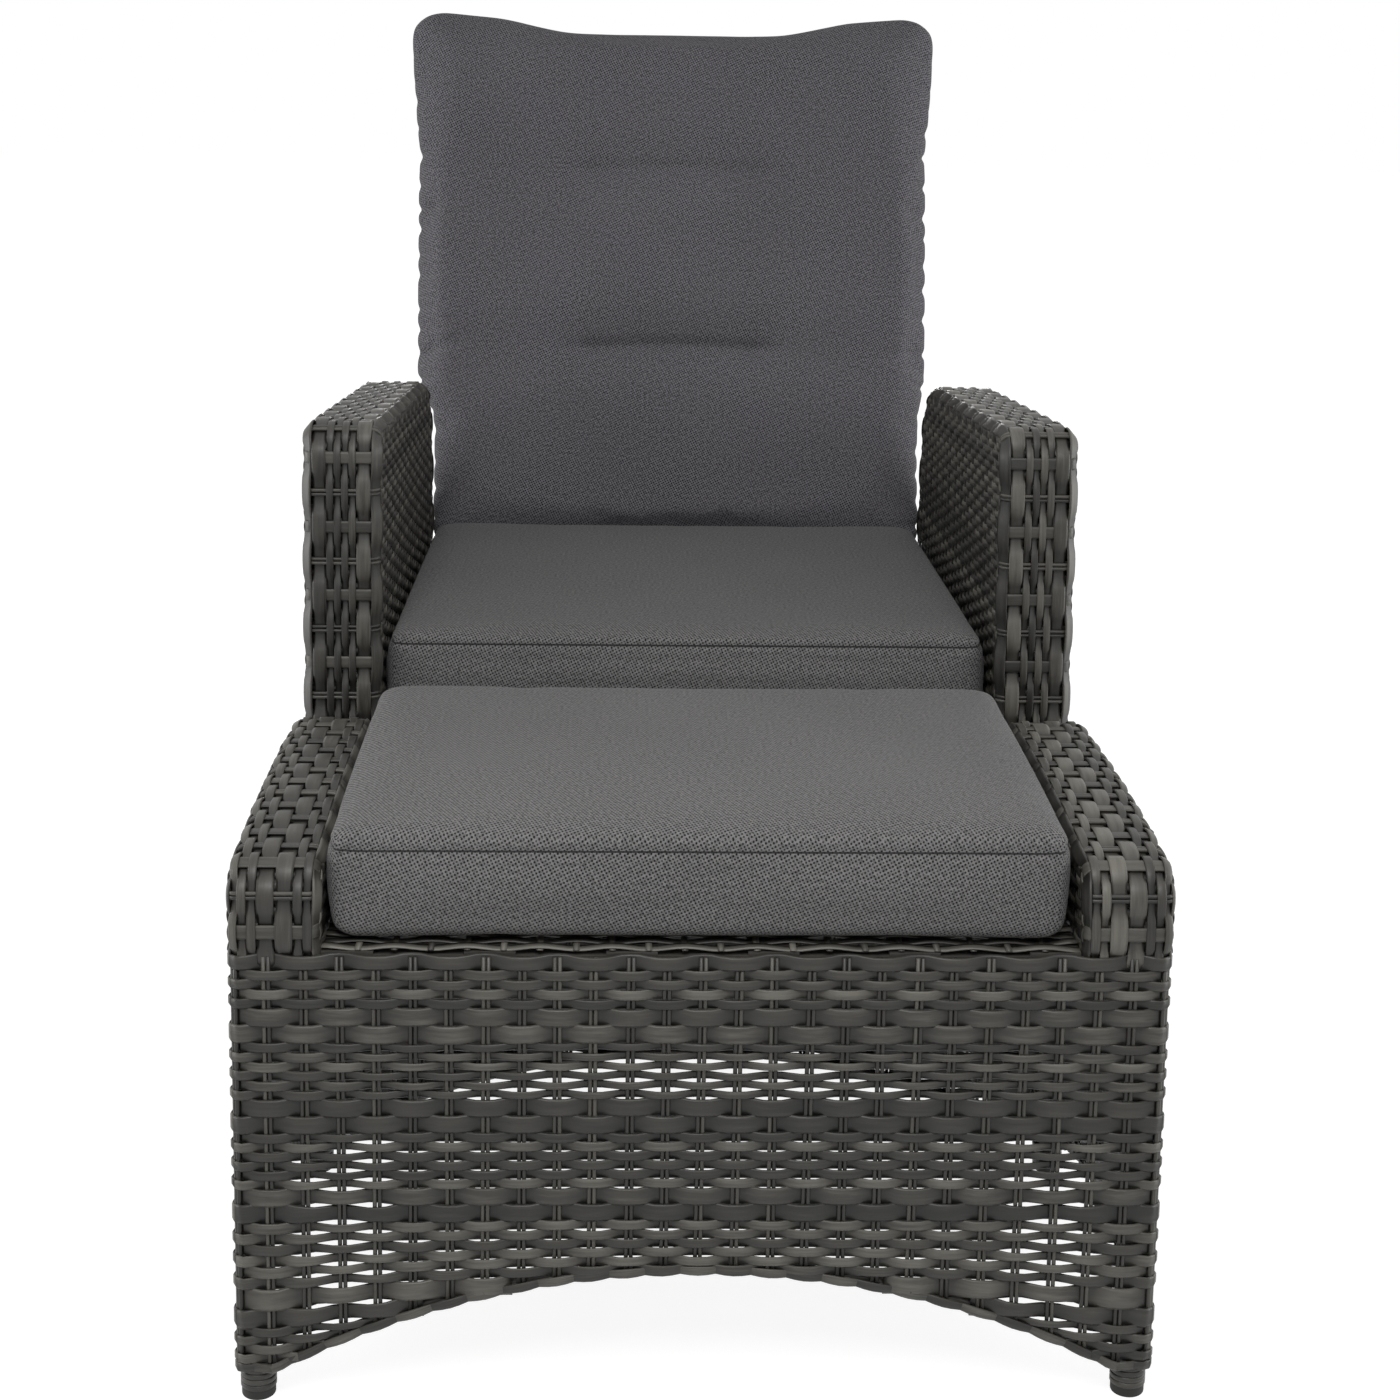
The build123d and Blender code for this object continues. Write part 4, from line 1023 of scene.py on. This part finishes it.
def stuffed(name, size, radius, rim, voxel, passes, **swelling):
    """A rounded box as an even net of small faces, which swells as cloth, has its small buckles evened out
    and takes one subdivision before the seams and folds go in."""
    obj = rounded_box(name, size, radius, rim)
    assigned(obj.modifiers.new("even", "REMESH"), mode="VOXEL", voxel_size=voxel, use_smooth_shade=True)
    applied(obj)
    inflate(obj, **swelling)
    assigned(obj.modifiers.new("even", "SMOOTH"), factor=0.5, iterations=passes)
    assigned(obj.modifiers.new("fine", "SUBSURF"), levels=1, render_levels=1)
    applied(obj)
    return obj


def covered(obj, points, cloth, turn=np.eye(3)):
    """Gives a cushion its final points, its cloth and the cloth's map in metres: each face takes the two
    directions that it faces least."""
    set_coords(obj, points)
    mesh = obj.data
    facing = np.abs(read(mesh.polygons, "normal", 3) @ turn).argmax(1)
    loops = read(mesh.loops, "vertex_index", kind=np.int32)
    sizes = np.diff(np.append(read(mesh.polygons, "loop_start", kind=np.int32), len(loops)))
    pair = np.array([[1, 2], [0, 2], [0, 1]])[np.repeat(facing, sizes)]
    uv = np.take_along_axis((coords_of(obj) @ turn)[loops], pair, 1)
    filled(mesh.uv_layers.new(name="cloth").uv, "vector", uv)
    mesh.materials.clear()
    mesh.materials.append(cloth)


def fitted(points, low, high):
    """Points stretched evenly so that their box runs from low to high."""
    near, far = points.min(0), points.max(0)
    return np.array(low) + (points - near) / (far - near) * (np.array(high) - np.array(low))


def crease(points, start, end, depth, width):
    """Depth of a fold along a segment: deepest on its line, fading as a bell across it and at its far end."""
    a, b = np.array(start), np.array(end)
    t = np.clip((points - a) @ (b - a) / ((b - a) @ (b - a)), 0, 1)
    away = np.linalg.norm(points - a - t[:, None] * (b - a), axis=1)
    return depth * bell(away, width) * (1 - smooth_step(t))


SWELL_FRAMES = 20
PAD = dict(radius=0.024, rim=0.010, voxel=0.006, passes=4, pressure=2.0, cap=0.003, stiff=15.0, bend=4.0)
PILLOW = dict(radius=0.034, rim=0.028, voxel=0.0055, passes=12, pressure=4.0, cap=0.022, stiff=8.0, bend=1.5)
SEAM_DEPTH, SEAM_WIDTH = 0.0020, 0.0030
PAD_SHIFT, PAD_SHRINK, PAD_FLATTEN = 0.002, 0.010, 0.006


def flat_cushion(name, node_name, body, crown, drop, grow, tilt=0.0):
    """Foam cushion: a box in its cover, a little crowned, with a groove along the seam that runs round it a
    drop below its top. It grows past its solid by the given lengths, and may tilt down towards the back."""
    low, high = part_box(node_name)
    low = low - Vector((grow[0] + PAD_SHIFT, 0, 0))
    high = high + Vector((grow[0] - PAD_SHIFT, grow[1], grow[2]))
    size = (high.x - low.x - PAD_SHRINK, high.y - low.y - PAD_SHRINK, high.z - low.z - crown - PAD_FLATTEN)
    obj = stuffed(name, size, **PAD)
    p = fitted(coords_of(obj), tuple(low), (high.x, high.y, high.z - crown))
    away = p[:, 2] - (high.z - crown - drop)
    shares = []
    for axis in (0, 1):
        share = np.clip(2 * (p[:, axis] - (low[axis] + high[axis]) / 2) / (high[axis] - low[axis]), -1, 1)
        p[:, axis] -= SEAM_DEPTH * bell(away, SEAM_WIDTH) * np.sign(share) * (np.abs(share) > 0.96)
        shares.append(share)
    across, along = shares
    up = smooth_step((p[:, 2] - low.z) / (high.z - low.z))
    p[:, 2] += crown * (1 - across**4) * (1 - along**4) * up - tilt * (1 + along) / 2 * up
    covered(obj, p, SEAT_CLOTH)
    filled(obj.data.attributes.new("seam", "FLOAT", "POINT").data, "value", away)
    put(obj, body, "cushion_fabric", node_name)


PILLOW_HALF = 0.289
PILLOW_LOW, PILLOW_HIGH = 0.044, 0.664
PILLOW_GRIPPED = 0.2805  # half width between the arms
PILLOW_HELD, PILLOW_FREED = 0.180, 0.07  # height up to which the arms hold it, and the length of the change
PILLOW_FACE = 0.0081  # its rear face, against the weave
PILLOW_THICK = 0.084
PILLOW_SHIFT = -0.006
# Sewn channels: height, depth of the stitched line, depth of the broad hollow
CHANNELS = ((0.273, 0.0068, 0.0125), (0.477, 0.0038, 0.0095))
CHANNEL_LINE, CHANNEL_HOLLOW, CHANNEL_END, CHANNEL_BOW = 0.0080, 0.034, 0.092, 0.004
# Gathers along the side seams: least and greatest values
GATHER_LENGTH, GATHER_DEPTH, GATHER_WIDTH = (0.018, 0.055), (0.0022, 0.0042), (0.0040, 0.0065)
GATHER_PITCH, GATHER_LEAN = (0.022, 0.040), 0.012
CREST_DIP, CORNER_DIP = 0.0085, 0.0030  # how far the top edge's middle and its corners come down
# Folds at the channels' ends: start and end as (x, z), and depth
FOLD_WIDTH = 0.0075
FOLDS = (
    ((-0.300, 0.262), (-0.215, 0.288), 0.0070),
    ((0.300, 0.250), (0.225, 0.268), 0.0070),
    ((0.300, 0.275), (0.215, 0.262), 0.0045),
    ((-0.300, 0.480), (-0.245, 0.470), 0.0045),
    ((0.300, 0.520), (0.250, 0.505), 0.0040),
)


def evened(x, z):
    """Places across the pillow times the ratio of the wanted to the measured half width at each height,
    smoothed over neighbouring heights."""
    levels = np.linspace(z.min() + 0.022, z.max() - 0.045, 48)
    rank = np.clip(np.searchsorted(levels, z), 0, len(levels) - 1)
    reach = np.zeros(len(levels))
    np.maximum.at(reach, rank, np.abs(x))
    reach[[0, -1]] = reach[[1, -2]]
    reach = np.convolve(np.pad(reach, 3, mode="edge"), np.full(7, 1 / 7), mode="valid")
    return x * np.interp(z, levels, pillow_half(levels) / reach)


def pillow_half(z):
    """Half width of the back cushion: held between the arms, free above them, widest at its top corners."""
    free = PILLOW_HALF + 0.005 + 0.006 * smooth_step((z - 0.50) / 0.10)
    return PILLOW_GRIPPED + (free - PILLOW_GRIPPED) * rise(z, PILLOW_HELD, PILLOW_FREED)


def back_pillow():
    """Loose fibre-filled cushion, worked out in the back's frame: a slab that swells as cloth, is drawn in
    along two short sewn channels and gathered along its side seams."""
    size = (2 * PILLOW_HALF - 0.016, PILLOW_HIGH - PILLOW_LOW - 0.016, PILLOW_THICK - 0.018)
    obj = stuffed("back_pillow", size, **PILLOW)
    q = coords_of(obj)
    low = (-PILLOW_HALF, PILLOW_FACE - PILLOW_THICK, PILLOW_LOW)
    p = fitted(stack(q[:, 0], -q[:, 2], q[:, 1]), low, (PILLOW_HALF, PILLOW_FACE, PILLOW_HIGH))
    p[:, 0] = evened(p[:, 0], p[:, 2])
    x, depth, z = p[:, 0].copy(), PILLOW_FACE - p[:, 1], p[:, 2].copy()
    flat, wide = stack(x, z), np.abs(x)
    dent = np.zeros(len(p))
    for level, sewn, broad in CHANNELS:
        fade = 1 - rise(wide, CHANNEL_END, 0.045)
        off = z - (level + CHANNEL_BOW * np.cos(np.pi * x / 0.24))
        dent += sewn * bell(off, CHANNEL_LINE) * fade
        dent += broad * bell(off, CHANNEL_HOLLOW) * (0.35 + 0.65 * fade)
    for side in (-1, 1):
        own = (x * side > 0.1).astype(float)
        place = PILLOW_LOW + 0.03
        while place < PILLOW_HIGH - 0.02:
            inward = rng.uniform(*GATHER_LENGTH)
            start = (side * (PILLOW_HALF + 0.004), place)
            end = (side * (PILLOW_HALF - inward), place + rng.uniform(-GATHER_LEAN, GATHER_LEAN))
            deep, width = rng.uniform(*GATHER_DEPTH), rng.uniform(*GATHER_WIDTH)
            fold = 0.8 * crease(flat, start, end, deep, width) * own
            p[:, 0] -= side * fold
            dent += fold
            place += rng.uniform(*GATHER_PITCH)
    for start, end, deep in FOLDS:
        dent += crease(flat, start, end, deep, FOLD_WIDTH)
    p[:, 1] += dent * rise(depth, 0.024, 0.035)
    high_part = rise(z, 0.56, 0.09)
    p[:, 2] -= high_part * (CREST_DIP * (1 - rise(wide, 0.12, 0.09)) + CORNER_DIP * rise(wide, 0.262, 0.03))
    p[:, 0] += PILLOW_SHIFT * rise(z, PILLOW_HELD, PILLOW_FREED)
    p[:, 1] = np.minimum(p[:, 1], PILLOW_FACE)
    covered(obj, back_point(p), BACK_CLOTH, on_back(np.eye(3)).T)
    put(obj, "back", "cushion_fabric", "back_cushion")


flat_cushion("stool_pad", "stool_cushion", "stool", 0.004, 0.0165, (0.004, 0.012, 0.004))
flat_cushion("seat_pad", "seat_cushion", "chair", 0.004, 0.0125, (0.003, 0, 0.008), 0.018)
back_pillow()

# Stage, light and camera

SKY = 0.17  # the studio's own light from all round
FLOOR_GREY, FLOOR_GLOW = (0.86, 0.86, 0.86), 0.62  # colour, and the share of the glow that the camera sees
GLOW = {"From Min": 0.8, "From Max": 2.5, "To Min": 1.44, "To Max": 1.60}  # by the distance from the middle
LAMPS = {  # place, target, size, power and spread in degrees
    "key": ((-0.1, -1.75, 1.80), (0, -0.60, 0.30), 0.9, 11.0, 120),
    "top": ((0.2, -0.6, 3.0), (0, -0.4, 0.3), 1.6, 6, 150),
    "left": ((2.8, 0.0, 0.7), (0.3, 0.0, 0.4), 1.3, 15, 120),
    "right": ((-2.8, 0.0, 0.7), (-0.3, 0.0, 0.4), 1.3, 15, 120),
    "rear": ((0.0, 3.2, 0.55), (0.0, 0.5, 0.5), 1.0, 20, 110),
}
VIEW_TURN, VIEW_TILT, VIEW_ROLL = np.radians((-1.93, 16.05, 0.89))
VIEW_PLACE = (-0.061, STOOL_FRONT - 1.650, 1.046)
SENSOR, FOCUS_PIXELS, PHOTO_PIXELS = 36, 2400, 1400


def seen(tree):
    """One where the camera looks straight or by way of a glossy face, nought for the light that falls."""
    path = node(tree, "ShaderNodeLightPath").outputs
    return math(tree, "MAXIMUM", path["Is Camera Ray"], path["Is Glossy Ray"])


def stage():
    """Pale floor whose glow rises with distance, white surroundings, and the lamps."""
    bpy.ops.mesh.primitive_plane_add(size=30, location=(0, 0, 0))
    floor = bpy.context.object
    floor.name = "floor"
    made, tree, _ = material("pale_floor", Roughness=0.9, Base_Color=(*FLOOR_GREY, 1))
    away = vector_math(tree, "LENGTH", {0: here(tree)}, "Value")
    strength = node(tree, "ShaderNodeMapRange", {"Value": away} | GLOW, interpolation_type="SMOOTHSTEP")
    glow = node(tree, "ShaderNodeEmission", {"Color": (1, 1, 1, 1), "Strength": strength.outputs[0]})
    plain = tree.nodes["Principled BSDF"].outputs[0]
    links = {0: times(tree, seen(tree), FLOOR_GLOW), 1: plain, 2: glow.outputs[0]}
    mix = node(tree, "ShaderNodeMixShader", links)
    tree.links.new(mix.outputs[0], tree.nodes["Material Output"].inputs["Surface"])
    floor.data.materials.append(made)

    world = bpy.data.worlds.new("studio")
    bpy.context.scene.world = world
    world.use_nodes = True
    tree = world.node_tree
    back = tree.nodes["Background"].inputs
    back["Color"].default_value = (1, 1, 1, 1)
    tree.links.new(plus(tree, times(tree, seen(tree), 1 - SKY), SKY), back["Strength"])

    for name, (place, target, size, power, spread) in LAMPS.items():
        data = bpy.data.lights.new(name, "AREA")
        data.size, data.energy, data.spread = size, power, np.radians(spread)
        obj = added(name, data)
        obj.location = place
        obj.rotation_euler = (Vector(target) - Vector(place)).to_track_quat("-Z", "Y").to_euler()


def camera():
    """Camera fitted to the photograph: it faces the chair, turned, tilted down and rolled."""
    data = bpy.data.cameras.new("view")
    data.sensor_fit, data.sensor_width = "HORIZONTAL", SENSOR
    data.lens = SENSOR * FOCUS_PIXELS / PHOTO_PIXELS
    obj = added("view", data)
    obj.matrix_world = Matrix.Translation(VIEW_PLACE)
    for angle, axis in ((VIEW_TURN, "Z"), (np.pi / 2 - VIEW_TILT, "X"), (VIEW_ROLL, "Z")):
        obj.matrix_world = obj.matrix_world @ Matrix.Rotation(angle, 4, axis)
    bpy.context.scene.camera = obj


stage()
camera()
bpy.context.scene.view_settings.view_transform = "Standard"
